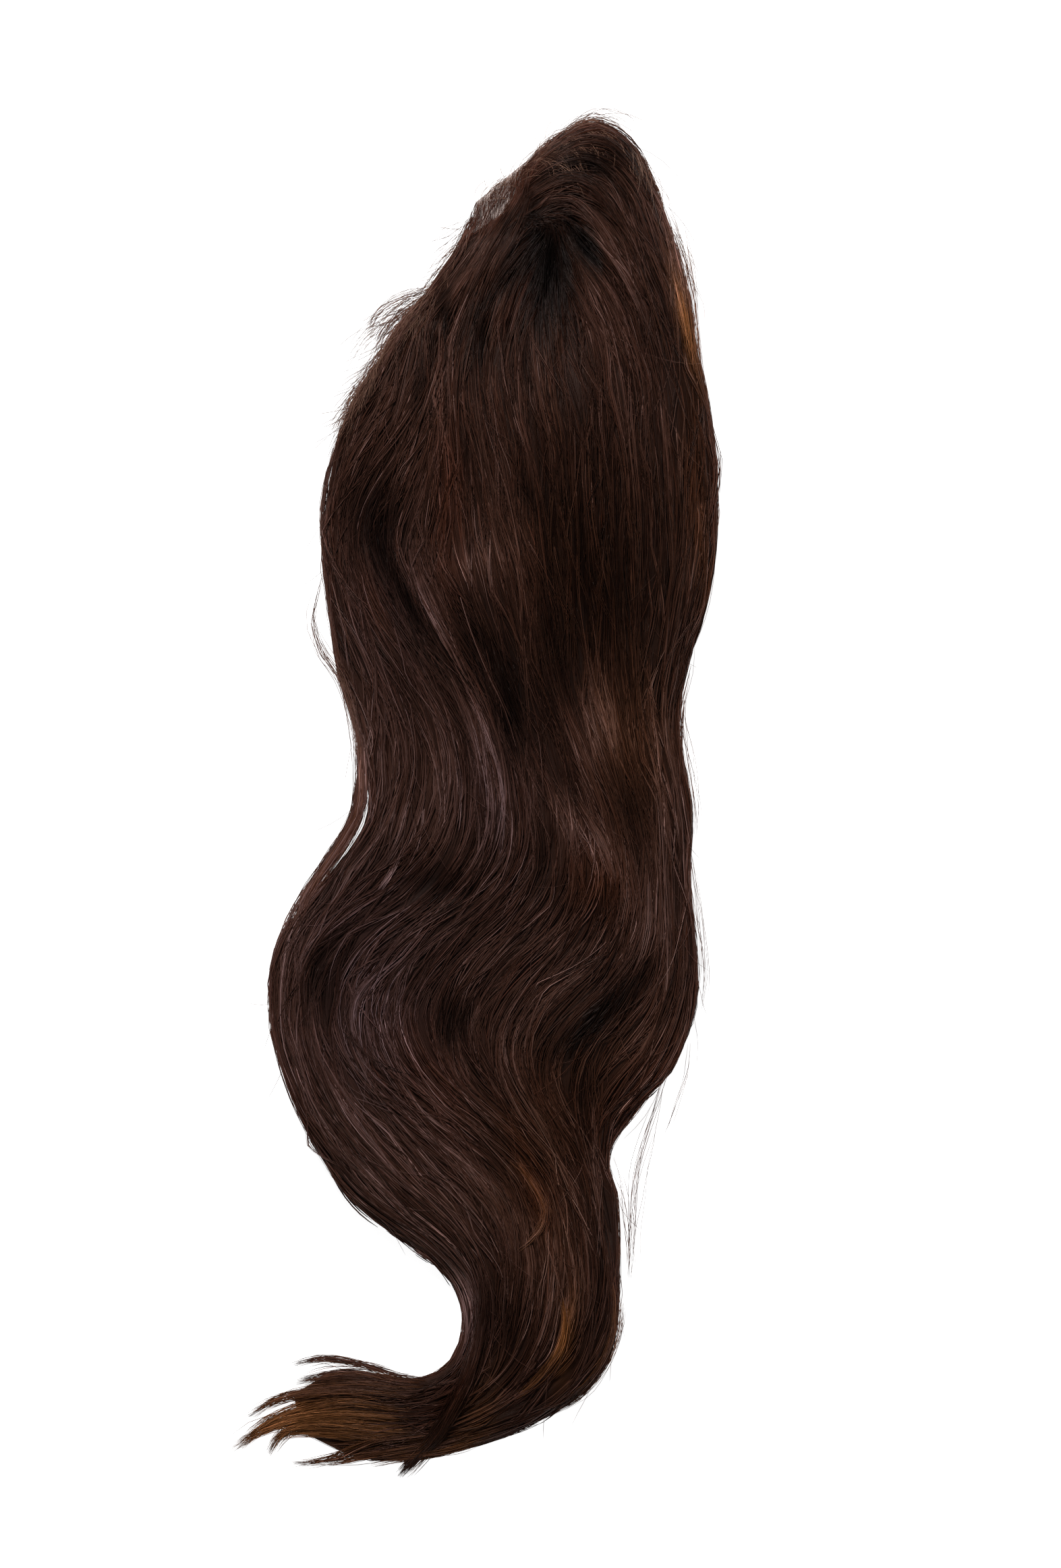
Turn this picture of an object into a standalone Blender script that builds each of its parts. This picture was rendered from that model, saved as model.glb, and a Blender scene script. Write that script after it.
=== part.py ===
"""A long wavy wig lying on its side, folded flat, in metres with +Z up.

+Y runs from the hair ends towards the crown, +X from the face side towards the back of the head,
and the wig rests on the plane z = 0 with its box centred over the origin.
"""
import math

import bmesh
import bpy
import numpy as np
from mathutils import Matrix, Vector

# The cap: half of a flat-bottomed dome, open along the mouth that the head goes into. Its folded edge is
# FOLD_WALLS walls wide, which keeps the slope above it a whole wall thick.
CAP_MOUTH = 0.240
CAP_DEPTH = 0.095
CAP_HEIGHT = 0.020
CAP_WALL = 0.0015
FOLD_WALLS = 2.5
CAP_SLANT = math.radians(33.7)
CAP_ROUND_STEPS = 40
CAP_RISE_STEPS = 10

# The lace: a strip that goes on from the cap's rim, round the fold at the forehead. It is widest at its
# corner, and its edge runs from there to the temple and to the crown. Reaches start at the crown.
LACE_WIDTH = 0.018
LACE_TEMPLE_WIDTH = 0.011
LACE_CROWN_WIDTH = 0.0025
LACE_REACH = 0.098
LACE_CORNER_REACH = 0.054
LACE_CORNER_LENGTH = 0.016
LACE_WALL = 0.001

# The hair: how far it goes past the cap, how long it falls, how wide it lies, how thick it is
CROWN_COVER = 0.025
FALL_LENGTH = 0.577
HAIR_WIDTH = 0.279
UNDER_THICKNESS = 0.007
TOP_COVER = 0.0195
TIP_LENGTH = 0.060
TIP_WIDTH = 0.011
TIP_THICKNESS = 0.0045

# What keeps the pieces apart
GAP = 0.0003
STREAM_GAP = 0.0005

HEAD_LENGTH = CAP_MOUTH * math.cos(CAP_SLANT) + CROWN_COVER
HAIR_THICKNESS = UNDER_THICKNESS + GAP + CAP_HEIGHT + TOP_COVER

# Where the middle of the mouth is: share of the hair's width, share of the head's length
MOUTH_ACROSS = -0.093
MOUTH_DOWN = 0.506

# Sections across the hair, from the crown to where the tips start.
# across: middle of the section, share of HAIR_WIDTH from the middle line
# down: 0 to 1 along HEAD_LENGTH, then 1 to 2 along FALL_LENGTH
# wide: share of HAIR_WIDTH; turn: degrees, clockwise seen from above
# thick: height of the crest, share of HAIR_THICKNESS
# under: height of the hair underneath, share of UNDER_THICKNESS
# lip: how much of the height is left at the edge on the face side
# front, back: where the middle stream starts and ends, share of the half width
SECTION_COLUMNS = ("across", "down", "wide", "turn", "thick", "under", "lip", "front", "back")
SECTIONS = (
    (0.226, 0.010, 0.072, -3.4, 0.45, 1.0, 0.60, -0.45, 0.20),
    (0.226, 0.067, 0.192, -2.1, 0.68, 1.0, 0.68, -0.45, 0.22),
    (0.229, 0.147, 0.261, 1.3, 0.82, 1.0, 0.74, -0.42, 0.25),
    (0.195, 0.344, 0.446, 5.3, 0.93, 1.0, 0.76, -0.38, 0.30),
    (0.145, 0.569, 0.620, 4.6, 1.00, 1.0, 0.76, -0.35, 0.38),
    (0.096, 0.827, 0.792, 3.6, 1.00, 1.0, 0.70, -0.40, 0.32),
    (0.074, 1.042, 0.840, 2.0, 0.95, 1.0, 0.50, -0.50, 0.14),
    (0.064, 1.139, 0.779, 0.0, 0.86, 1.8, 0.32, -0.58, 0.04),
    (0.073, 1.231, 0.682, -0.6, 0.78, 2.4, 0.25, -0.56, 0.00),
    (0.080, 1.326, 0.725, 1.1, 0.78, 2.4, 0.25, -0.50, 0.02),
    (0.049, 1.381, 0.778, 2.1, 0.78, 2.4, 0.25, -0.46, 0.08),
    (0.005, 1.480, 0.910, 1.4, 0.76, 2.4, 0.25, -0.42, 0.28),
    (-0.008, 1.532, 0.899, 1.4, 0.75, 2.4, 0.25, -0.38, 0.42),
    (-0.024, 1.588, 0.817, 1.5, 0.74, 2.3, 0.25, -0.32, 0.55),
    (-0.046, 1.640, 0.688, 0.6, 0.72, 2.2, 0.25, -0.26, 0.62),
    (0.011, 1.725, 0.545, -3.0, 0.68, 2.1, 0.26, -0.28, 0.60),
    (0.065, 1.763, 0.451, 0.0, 0.64, 2.0, 0.27, -0.36, 0.56),
    (0.118, 1.844, 0.330, 6.2, 0.56, 1.8, 0.28, -0.52, 0.48),
    (0.101, 1.884, 0.311, 7.9, 0.50, 1.6, 0.30, -0.56, 0.46),
    (-0.035, 1.933, 0.257, 23.0, 0.36, 1.1, 0.34, -0.52, 0.46),
    (-0.140, 1.945, 0.215, 49.0, 0.27, 0.8, 0.38, -0.46, 0.46),
    (-0.279, 1.945, 0.202, 71.0, 0.21, 0.6, 0.40, -0.44, 0.46),
)
STEPS_PER_SECTION = 2

# How the locks of a stream stand up and drift, and how the pile rounds off towards its edges.
# UNDER_GROOVE, UNDER_EDGE and UNDER_LOWEST are shares of the height of the hair underneath
LOCKS_PER_STREAM = 3
LOCK_COLUMNS = (0.0, 0.25, 0.5, 0.75)
LOCK_RELIEF = 0.0045
LOCK_ROUNDNESS = 0.7
LOCK_DRIFT = 0.05
DRIFT_WAVES = 1.6
DRIFT_STEP = 0.37
STREAM_STEP = 0.2
BACK_LIP = 0.22
EDGE_POWER = 2.6
UNDER_LOCKS = 5
UNDER_GROOVE = 0.35
UNDER_EDGE = 0.45
UNDER_LOWEST = 0.35
UNDER_INSET = 0.985
UNDER_STOPS_BEFORE = 2

# Loose tips at the ends of the streams.
# root: where it leaves the end section, share of the half width
# wide, long: shares of TIP_WIDTH and TIP_LENGTH; heading, bend: degrees from the end section's own way
# TIP_ROOT_SINK is the share of TIP_LENGTH inside the stream, TIP_POINT the share of width left at the point
TIP_COLUMNS = ("stream", "root", "wide", "long", "heading", "bend")
TIPS = (
    ("front_hair", -0.86, 0.45, 0.50, 30.0, 10.0),
    ("front_hair", -0.63, 0.60, 0.50, 26.0, 8.0),
    ("middle_hair", -0.22, 0.80, 1.00, 12.0, -4.0),
    ("middle_hair", 0.02, 0.80, 1.23, 2.0, -2.0),
    ("middle_hair", 0.22, 0.75, 0.90, -2.0, 4.0),
    ("back_hair", 0.66, 0.65, 0.73, 0.0, 4.0),
    ("back_hair", 0.84, 0.60, 0.35, -8.0, -6.0),
)
TIP_SIDES = 6
TIP_RINGS = 6
TIP_ROOT_SINK = 0.10
TIP_FULLNESS = 1.6
TIP_POINT = 0.12

STREAMS = ("front_hair", "middle_hair", "back_hair")
FINISHES = {
    "hair": ((0.030, 0.016, 0.011, 1.0), 0.42),
    "cap_net": ((0.060, 0.035, 0.025, 1.0), 0.85),
    "lace": ((0.330, 0.210, 0.160, 1.0), 0.80),
}


def clear_scene():
    """Remove what the start-up scene holds."""
    for item in list(bpy.data.objects):
        bpy.data.objects.remove(item)


def make_collection(name):
    """Return a new collection in the scene."""
    collection = bpy.data.collections.new(name)
    bpy.context.scene.collection.children.link(collection)
    return collection


def make_material(name):
    """Return the plain finish of that name."""
    colour, roughness = FINISHES[name]
    material = bpy.data.materials.new(name)
    material.use_nodes = True
    shader = material.node_tree.nodes["Principled BSDF"]
    shader.inputs["Base Color"].default_value = colour
    shader.inputs["Roughness"].default_value = roughness
    shader.inputs["Metallic"].default_value = 0.0
    return material


def add_object(name, bm, collection, material=None):
    """Turn a bmesh into a named object with its faces pointing out."""
    bmesh.ops.recalc_face_normals(bm, faces=bm.faces)
    mesh = bpy.data.meshes.new(name)
    bm.to_mesh(mesh)
    bm.free()
    if material:
        mesh.materials.append(material)
    item = bpy.data.objects.new(name, mesh)
    collection.objects.link(item)
    return item


def as_guide(item):
    """Mark an object as one that only cuts or joins others."""
    item.hide_render = True
    item.display_type = "WIRE"
    return item


def boolean(item, other, operation):
    """Cut an object by another one, or join the other one to it."""
    modifier = item.modifiers.new(operation.title(), "BOOLEAN")
    modifier.operation = operation
    modifier.solver = "EXACT"
    modifier.object = other


def smooth_rows(values, steps):
    """Run a smooth curve through the rows of a table, with that many steps between two rows."""
    padded = np.vstack((2 * values[0] - values[1], values, 2 * values[-1] - values[-2]))
    rows = []
    for i in range(len(values) - 1):
        a, b, c, d = padded[i:i + 4]
        for t in np.arange(steps) / steps:
            rows.append(0.5 * (2 * b + (c - a) * t + (2 * a - 5 * b + 4 * c - d) * t ** 2
                               + (3 * b - a - 3 * c + d) * t ** 3))
    rows.append(values[-1])
    return np.array(rows)


def fall_y(down):
    """Place along the wig for a share down, from the crown at 0 to the lowest ends at 2."""
    return -HEAD_LENGTH * np.minimum(down, 1.0) - FALL_LENGTH * np.maximum(down - 1.0, 0.0)


class Hair:
    """The hair's sections as arrays, and the heights between its layers."""

    def __init__(self):
        rows = smooth_rows(np.array(SECTIONS), STEPS_PER_SECTION)
        table = dict(zip(SECTION_COLUMNS, rows.T))
        self.count = len(rows)
        self.middle = np.stack((table["across"] * HAIR_WIDTH, fall_y(table["down"])), axis=1)
        turn = np.radians(table["turn"])
        self.along = np.stack((np.cos(turn), -np.sin(turn)), axis=1)
        self.half = table["wide"] * HAIR_WIDTH / 2
        self.crest = table["thick"] * HAIR_THICKNESS
        self.under = table["under"] * UNDER_THICKNESS
        self.lip = table["lip"]
        self.borders = (-np.ones(self.count), table["front"], table["back"], np.ones(self.count))

    def place(self, share):
        """Points (x, y) of each section at a share of its half width, one column per share."""
        reach = (share * self.half[:, None])[..., None]
        return self.middle[:, None, :] + reach * self.along[:, None, :]

    def dome(self, share):
        """1 over the middle, falling to the lip at the face side and to BACK_LIP at the back."""
        lip = np.where(share < 0, self.lip[:, None], BACK_LIP)
        return 1 - (1 - lip) * np.abs(share) ** EDGE_POWER

    def between(self, share):
        """Height of the face between the hair underneath and the streams."""
        return self.under[:, None] * (UNDER_LOWEST + (1 - UNDER_LOWEST) * self.dome(share))

    def stream_borders(self, number):
        """Shares of the half width where the locks of one stream meet, a column per border."""
        start, end = self.borders[number], self.borders[number + 1]
        down = np.linspace(0, 1, self.count)
        columns = []
        for lock in range(LOCKS_PER_STREAM + 1):
            phase = DRIFT_WAVES * down + DRIFT_STEP * lock + STREAM_STEP * number
            drift = LOCK_DRIFT * np.sin(2 * math.pi * phase)
            inside = 0 < lock < LOCKS_PER_STREAM
            columns.append(start + (end - start) * (lock / LOCKS_PER_STREAM + inside * drift))
        return np.stack(columns, axis=1)

    def trim(self, share, number):
        """Draw a stream's two sides in by half of the gap between streams."""
        share = share.copy()
        step = STREAM_GAP / 2 / self.half
        if number > 0:
            share[:, 0] += step
        if number < len(STREAMS) - 1:
            share[:, -1] -= step
        return share


def lock_columns(borders):
    """Put four columns on each lock, and say how high the lock's back stands there."""
    shares, relief = [], []
    for lock in range(borders.shape[1] - 1):
        for part in LOCK_COLUMNS:
            shares.append(borders[:, lock] * (1 - part) + borders[:, lock + 1] * part)
            relief.append(math.sin(math.pi * part) ** LOCK_ROUNDNESS)
    shares.append(borders[:, -1])
    relief.append(0.0)
    return np.stack(shares, axis=1), np.array(relief)


def slab(top, bottom):
    """Close the space between two grids of points, rows along the hair and columns across it.

    Both grids have the same first and last column seen from above. Each cell is cut along the same
    diagonal, so that two layers that follow one face keep an even gap.
    """
    bm = bmesh.new()
    upper = [[bm.verts.new(point) for point in row] for row in top]
    lower = [[bm.verts.new(point) for point in row] for row in bottom]
    for grid in (upper, lower):
        for row, following in zip(grid, grid[1:]):
            for j in range(len(row) - 1):
                bm.faces.new((row[j], row[j + 1], following[j + 1]))
                bm.faces.new((row[j], following[j + 1], following[j]))
    for side in (0, -1):
        for i in range(len(upper) - 1):
            bm.faces.new((upper[i][side], upper[i + 1][side], lower[i + 1][side], lower[i][side]))
    for end in (0, -1):
        bm.faces.new(upper[end] + lower[end][::-1])
    return bm


def with_height(points, height):
    """Join plan points and heights."""
    return np.concatenate((points, height[..., None]), axis=2)


def add_stream(hair, number, collection, material):
    """One stream of hair on top of the cap and the hair underneath, as a row of fused locks."""
    borders = hair.trim(hair.stream_borders(number), number)
    shares, relief = lock_columns(borders)
    base = hair.between(shares)
    crest = hair.crest[:, None] - LOCK_RELIEF * (1 - relief)
    top = base + GAP + (crest - base) * hair.dome(shares)
    bottom = hair.between(borders) + GAP
    bm = slab(with_height(hair.place(shares), top), with_height(hair.place(borders), bottom))
    return add_object(STREAMS[number], bm, collection, material)


def add_under_hair(hair, collection, material):
    """The hair of the lower half of the wig: flat where it rests, with grooves between its locks."""
    last = hair.count - UNDER_STOPS_BEFORE
    columns = [hair.stream_borders(k)[:, (0 if k == 0 else 1):] for k in range(len(STREAMS))]
    shares = np.concatenate(columns, axis=1)
    shares[:, 0] *= UNDER_INSET
    shares[:, -1] *= UNDER_INSET
    top = hair.between(shares)
    borders = np.linspace(-1, 1, UNDER_LOCKS + 1)[None, :] * UNDER_INSET * np.ones((hair.count, 1))
    low_shares, relief = lock_columns(borders)
    flat = np.where(relief > 0, 0.0, UNDER_GROOVE)
    flat[0] = flat[-1] = UNDER_EDGE
    bottom = flat[None, :] * hair.between(low_shares)
    bm = slab(with_height(hair.place(shares), top)[:last],
              with_height(hair.place(low_shares), bottom)[:last])
    return add_object("under_hair", bm, collection, material)


def add_tip(hair, row, number, collection):
    """A pointed lock that starts inside a stream's end and runs down to the surface."""
    tip = dict(zip(TIP_COLUMNS, row))
    share = np.full((hair.count, 1), tip["root"])
    root = hair.place(share)[-1, 0]
    across = hair.along[-1]
    ahead = np.array((across[1], -across[0]))
    height = (hair.between(share)[-1, 0] + hair.crest[-1]) / 2
    length = tip["long"] * TIP_LENGTH
    bm = bmesh.new()
    rings = []
    sunk = TIP_ROOT_SINK * TIP_LENGTH
    place = root - ahead * sunk
    step = (length + sunk) / (TIP_RINGS - 1)
    for i in range(TIP_RINGS):
        part = i / (TIP_RINGS - 1)
        angle = math.radians((tip["heading"] + tip["bend"] * part) * part)
        way = np.array((ahead[0] * math.cos(angle) + ahead[1] * math.sin(angle),
                        ahead[1] * math.cos(angle) - ahead[0] * math.sin(angle)))
        taper = max(1 - part ** TIP_FULLNESS, TIP_POINT)
        half_wide = tip["wide"] * TIP_WIDTH / 2 * taper
        half_high = TIP_THICKNESS / 2 * taper
        z = height * (1 - part) + (half_high + GAP) * part
        side = np.array((way[1], -way[0]))
        ring = []
        for k in range(TIP_SIDES):
            turn = 2 * math.pi * k / TIP_SIDES
            spot = place + side * half_wide * math.cos(turn)
            ring.append(bm.verts.new((spot[0], spot[1], max(z + half_high * math.sin(turn), GAP))))
        rings.append(ring)
        place = place + way * step
    for ring, following in zip(rings, rings[1:]):
        for k in range(TIP_SIDES):
            n = (k + 1) % TIP_SIDES
            bm.faces.new((ring[k], ring[n], following[n], following[k]))
    bm.faces.new(rings[0])
    bm.faces.new(rings[-1])
    return as_guide(add_object(f"tip_{number}", bm, collection))


def mouth_frame():
    """Place and turn of the cap: x along the mouth to the forehead, y out of it, z up."""
    middle = Vector((MOUTH_ACROSS * HAIR_WIDTH, -MOUTH_DOWN * HEAD_LENGTH, UNDER_THICKNESS + GAP))
    return Matrix.Translation(middle) @ Matrix.Rotation(math.pi / 2 - CAP_SLANT, 4, "Z")


def dome_body(half_long, half_deep, high, floor, drop, collection, name):
    """A flat-bottomed dome: a ball, stretched, with its lower half pressed flat.

    floor lifts its flat underside, and drop sinks it instead, to cut what lies below.
    """
    bm = bmesh.new()
    bmesh.ops.create_uvsphere(bm, u_segments=CAP_ROUND_STEPS, v_segments=2 * CAP_RISE_STEPS, radius=1.0)
    cut = bmesh.ops.bisect_plane(bm, geom=bm.verts[:] + bm.edges[:] + bm.faces[:], dist=1e-6,
                                 plane_co=(0, 0, 0), plane_no=(0, 0, 1), clear_inner=True)
    rim = [part for part in cut["geom_cut"] if isinstance(part, bmesh.types.BMEdge)]
    bmesh.ops.scale(bm, vec=(half_long, half_deep, high), verts=bm.verts)
    bmesh.ops.translate(bm, vec=(0, 0, floor), verts=bm.verts)
    skirt = bmesh.ops.extrude_edge_only(bm, edges=rim)["geom"] if drop else rim
    if drop:
        lowered = [part for part in skirt if isinstance(part, bmesh.types.BMVert)]
        bmesh.ops.translate(bm, vec=(0, 0, -drop), verts=lowered)
        skirt = [edge for edge in bm.edges if edge.is_boundary]
    bmesh.ops.contextual_create(bm, geom=[edge for edge in skirt if edge.is_boundary])
    bmesh.ops.transform(bm, matrix=mouth_frame(), verts=bm.verts)
    return add_object(name, bm, collection)


def upright(plan, reach, name, collection):
    """A block over a plan in the mouth's own frame, that reaches as far down as up."""
    bm = bmesh.new()
    floor = bm.faces.new([bm.verts.new((x, y, -reach)) for x, y in plan])
    made = bmesh.ops.extrude_face_region(bm, geom=[floor])["geom"]
    top = [part for part in made if isinstance(part, bmesh.types.BMVert)]
    bmesh.ops.translate(bm, vec=(0, 0, 2 * reach), verts=top)
    bmesh.ops.recalc_face_normals(bm, faces=bm.faces)
    bmesh.ops.transform(bm, matrix=mouth_frame(), verts=bm.verts)
    return as_guide(add_object(name, bm, collection))


def add_shell(name, wall, plan, reach, collection, cutters, material):
    """A part of the dome's wall: what of it lies over a plan in the mouth's frame."""
    shell = dome_body(CAP_MOUTH / 2, CAP_DEPTH, CAP_HEIGHT, 0, 0, collection, name)
    shell.data.materials.append(material)
    fold = FOLD_WALLS * wall
    inner = as_guide(dome_body(CAP_MOUTH / 2 - fold, CAP_DEPTH - fold, CAP_HEIGHT - 2 * wall, wall, 0,
                               cutters, name + "_hollow"))
    boolean(shell, inner, "DIFFERENCE")
    boolean(shell, upright(plan, reach, name + "_limits", cutters), "INTERSECT")
    return shell


def lace_plan(seam):
    """The lace in the mouth's frame: from the seam along the temple, round the corner, to the crown."""
    crown = CAP_MOUTH / 2
    temple = crown - LACE_REACH
    corner = crown - LACE_CORNER_REACH
    return ((temple, seam), (crown, seam), (crown, LACE_CROWN_WIDTH), (corner, LACE_WIDTH),
            (corner - LACE_CORNER_LENGTH, LACE_TEMPLE_WIDTH), (temple, LACE_TEMPLE_WIDTH))


def add_cap(collection, cutters, finishes):
    """The cap behind its mouth, and the lace in front of it."""
    reach = CAP_MOUTH + CAP_DEPTH
    seam = GAP / 2
    behind = ((-reach, -reach), (reach, -reach), (reach, -seam), (-reach, -seam))
    cap = add_shell("wig_cap", CAP_WALL, behind, reach, collection, cutters, finishes["cap_net"])
    lace = add_shell("lace_front", LACE_WALL, lace_plan(seam), reach, collection, cutters,
                     finishes["lace"])
    return [cap, lace]


def stand_on_origin(items):
    """Move every piece so that the whole box rests on z = 0, centred over the origin."""
    bpy.context.view_layer.update()
    graph = bpy.context.evaluated_depsgraph_get()
    corners = []
    for item in items:
        mesh = item.evaluated_get(graph).data
        corners += [item.matrix_world @ vertex.co for vertex in mesh.vertices]
    points = np.array(corners)
    low, high = points.min(axis=0), points.max(axis=0)
    shift = Vector((-(low[0] + high[0]) / 2, -(low[1] + high[1]) / 2, -low[2]))
    for item in bpy.data.objects:
        item.location += shift


def main():
    """Build the wig."""
    clear_scene()
    parts = make_collection("glueless_wig")
    cutters = make_collection("cutters")
    finishes = {name: make_material(name) for name in FINISHES}
    hair = Hair()

    items = [add_under_hair(hair, parts, finishes["hair"])]
    room = as_guide(dome_body(CAP_MOUTH / 2 + GAP, CAP_DEPTH + GAP, CAP_HEIGHT + GAP, 0,
                              2 * UNDER_THICKNESS, cutters, "room_for_cap"))
    for number, name in enumerate(STREAMS):
        stream = add_stream(hair, number, parts, finishes["hair"])
        boolean(stream, room, "DIFFERENCE")
        for count, row in enumerate(TIPS):
            if row[0] == name:
                boolean(stream, add_tip(hair, row, count, cutters), "UNION")
        items.append(stream)
    items += add_cap(parts, cutters, finishes)
    stand_on_origin(items)


main()
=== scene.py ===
"""Looks of a long wavy wig that lies on its side, folded flat, seen from straight above.

The hair is two closed slabs with thousands of strands laid over them. The slabs follow sections across
the hair, from the crown to the tips. The strands follow courses of the hair that were read from the
photo, and lie at about the height of the upper slab.
"""
import math

import bpy
import numpy as np
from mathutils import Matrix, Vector


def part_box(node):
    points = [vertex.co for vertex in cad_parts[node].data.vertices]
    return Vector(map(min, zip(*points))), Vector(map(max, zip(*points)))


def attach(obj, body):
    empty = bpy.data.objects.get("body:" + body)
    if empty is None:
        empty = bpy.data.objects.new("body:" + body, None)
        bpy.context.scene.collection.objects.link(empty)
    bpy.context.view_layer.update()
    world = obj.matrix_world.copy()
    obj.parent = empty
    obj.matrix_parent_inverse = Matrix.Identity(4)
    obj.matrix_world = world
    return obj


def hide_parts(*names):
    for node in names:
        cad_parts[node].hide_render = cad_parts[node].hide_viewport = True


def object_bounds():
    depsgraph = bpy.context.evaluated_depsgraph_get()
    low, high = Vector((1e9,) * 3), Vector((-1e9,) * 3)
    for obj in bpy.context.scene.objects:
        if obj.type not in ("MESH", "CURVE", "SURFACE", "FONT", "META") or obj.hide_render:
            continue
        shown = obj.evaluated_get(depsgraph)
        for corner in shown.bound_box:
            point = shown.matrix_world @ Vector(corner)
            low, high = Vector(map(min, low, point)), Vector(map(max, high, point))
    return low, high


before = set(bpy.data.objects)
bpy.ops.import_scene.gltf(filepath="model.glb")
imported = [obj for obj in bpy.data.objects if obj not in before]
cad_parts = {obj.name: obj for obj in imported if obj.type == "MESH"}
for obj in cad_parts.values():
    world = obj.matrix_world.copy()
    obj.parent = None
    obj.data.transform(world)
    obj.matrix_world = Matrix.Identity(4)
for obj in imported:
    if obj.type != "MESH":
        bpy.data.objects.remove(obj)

cad_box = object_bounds()

# The photo's scale, and where the hair's right and top edges lie in it
PIXEL = 0.0004
PHOTO_RIGHT = 1064.0
PHOTO_TOP = 181.4
PHOTO_WIDTH = 1573
PHOTO_HEIGHT = 2324
HAIR_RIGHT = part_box("back_hair")[1].x
HAIR_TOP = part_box("back_hair")[1].y
HAIR_HEIGHT = cad_box[1].z

# The folded cap: a flat-bottomed dome, cut open along its mouth
CAP_MOUTH = 0.240
CAP_DEPTH = 0.095
CAP_SLANT = math.radians(33.7)
CAP_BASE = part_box("wig_cap")[0].z
CAP_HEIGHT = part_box("wig_cap")[1].z - CAP_BASE
MOUTH_AT = (652.1, 461.9)
CLEARANCE = 0.0006

# Height of the hair underneath the cap
UNDER_HEIGHT = 0.007

# Sections across the hair, read from the photo in its pixels, from the crown to the longest tip: x and y
# of the left end; x and y of the right end; where five flow lines cross it, as shares of the half width;
# height of the crest over HAIR_HEIGHT; height of the hair underneath over UNDER_HEIGHT; share of the
# height left at the face side
SECTIONS = np.array((
    (850, 184, 900, 181, -0.67, -0.33, 0.00, 0.33, 0.67, 0.40, 1.0, 0.60),
    (806, 217, 942, 212, -0.67, -0.33, 0.00, 0.33, 0.67, 0.66, 1.0, 0.68),
    (790, 260, 968, 262, -0.68, -0.33, -0.03, 0.32, 0.68, 0.80, 1.0, 0.74),
    (744, 324, 990, 325, -0.68, -0.32, -0.06, 0.30, 0.69, 0.90, 1.0, 0.76),
    (687, 358, 1002, 365, -0.68, -0.32, -0.06, 0.30, 0.69, 0.94, 1.0, 0.76),
    (643, 425, 1022, 435, -0.66, -0.32, -0.05, 0.34, 0.71, 0.97, 1.0, 0.76),
    (588, 495, 1032, 508, -0.65, -0.33, -0.04, 0.37, 0.73, 1.00, 1.0, 0.74),
    (507, 635, 1060, 652, -0.67, -0.33, -0.06, 0.35, 0.71, 1.00, 1.0, 0.70),
    (478, 795, 1062, 806, -0.72, -0.44, -0.19, 0.28, 0.71, 0.95, 1.1, 0.50),
    (487, 900, 1046, 903, -0.70, -0.41, -0.16, 0.30, 0.73, 0.88, 1.7, 0.36),
    (501, 1000, 1015, 1000, -0.65, -0.33, -0.05, 0.36, 0.77, 0.83, 2.1, 0.28),
    (530, 1095, 1007, 1090, -0.69, -0.29, -0.04, 0.36, 0.78, 0.79, 2.4, 0.25),
    (549, 1192, 1026, 1198, -0.66, -0.29, -0.04, 0.38, 0.80, 0.79, 2.4, 0.25),
    (531, 1243, 1025, 1252, -0.64, -0.28, -0.03, 0.40, 0.81, 0.79, 2.4, 0.25),
    (494, 1291, 1023, 1305, -0.61, -0.26, -0.01, 0.41, 0.83, 0.79, 2.4, 0.25),
    (412, 1395, 1032, 1410, -0.74, -0.45, -0.19, 0.34, 0.81, 0.78, 2.4, 0.25),
    (398, 1475, 1033, 1488, -0.83, -0.57, -0.33, 0.17, 0.76, 0.77, 2.4, 0.25),
    (408, 1555, 1005, 1568, -0.79, -0.51, -0.26, 0.20, 0.73, 0.76, 2.3, 0.25),
    (436, 1640, 947, 1645, -0.69, -0.35, -0.04, 0.39, 0.77, 0.74, 2.2, 0.25),
    (478, 1722, 900, 1715, -0.54, -0.16, 0.17, 0.60, 0.88, 0.71, 2.1, 0.25),
    (540, 1800, 916, 1782, -0.47, -0.10, 0.19, 0.58, 0.85, 0.68, 2.0, 0.26),
    (655, 1886, 917, 1895, -0.62, -0.25, 0.05, 0.48, 0.80, 0.61, 1.9, 0.27),
    (687, 1950, 914, 1975, -0.66, -0.26, 0.04, 0.45, 0.78, 0.55, 1.8, 0.28),
    (680, 2000, 898, 2030, -0.67, -0.30, 0.02, 0.40, 0.74, 0.49, 1.6, 0.30),
    (655, 2036, 850, 2083, -0.67, -0.32, 0.00, 0.36, 0.70, 0.42, 1.3, 0.32),
    (612, 2051, 775, 2123, -0.67, -0.33, 0.00, 0.33, 0.67, 0.36, 1.1, 0.34),
    (570, 2047, 668, 2160, -0.67, -0.33, 0.00, 0.33, 0.67, 0.28, 0.8, 0.38),
    (502, 2037, 546, 2172, -0.67, -0.33, 0.00, 0.33, 0.67, 0.17, 0.6, 0.40),
    (432, 2074, 446, 2132, -0.67, -0.33, 0.00, 0.33, 0.67, 0.07, 0.3, 0.40),
))
# Numbers of the sections where the tips start and where the cap's lower end lies
BED_END = 28
CAP_END = 7.5

# Rows of the smooth table that the sections are made into
ROWS_DENSE = 1600

# Form of the hair across a section: power of the dome, share of the height left at the back, share of
# the seam's height left where the dome is 0; crests between which the relief fades in, and the heights
# of the broad, middle and fine ridges between locks, in metres
EDGE_POWER = 2.6
BACK_LIP = 0.22
SEAM_EDGE = 0.35
THIN_CREST = (0.004, 0.020)
RIDGE_HEIGHTS = (0.0006, 0.0004, 0.0002)

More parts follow.
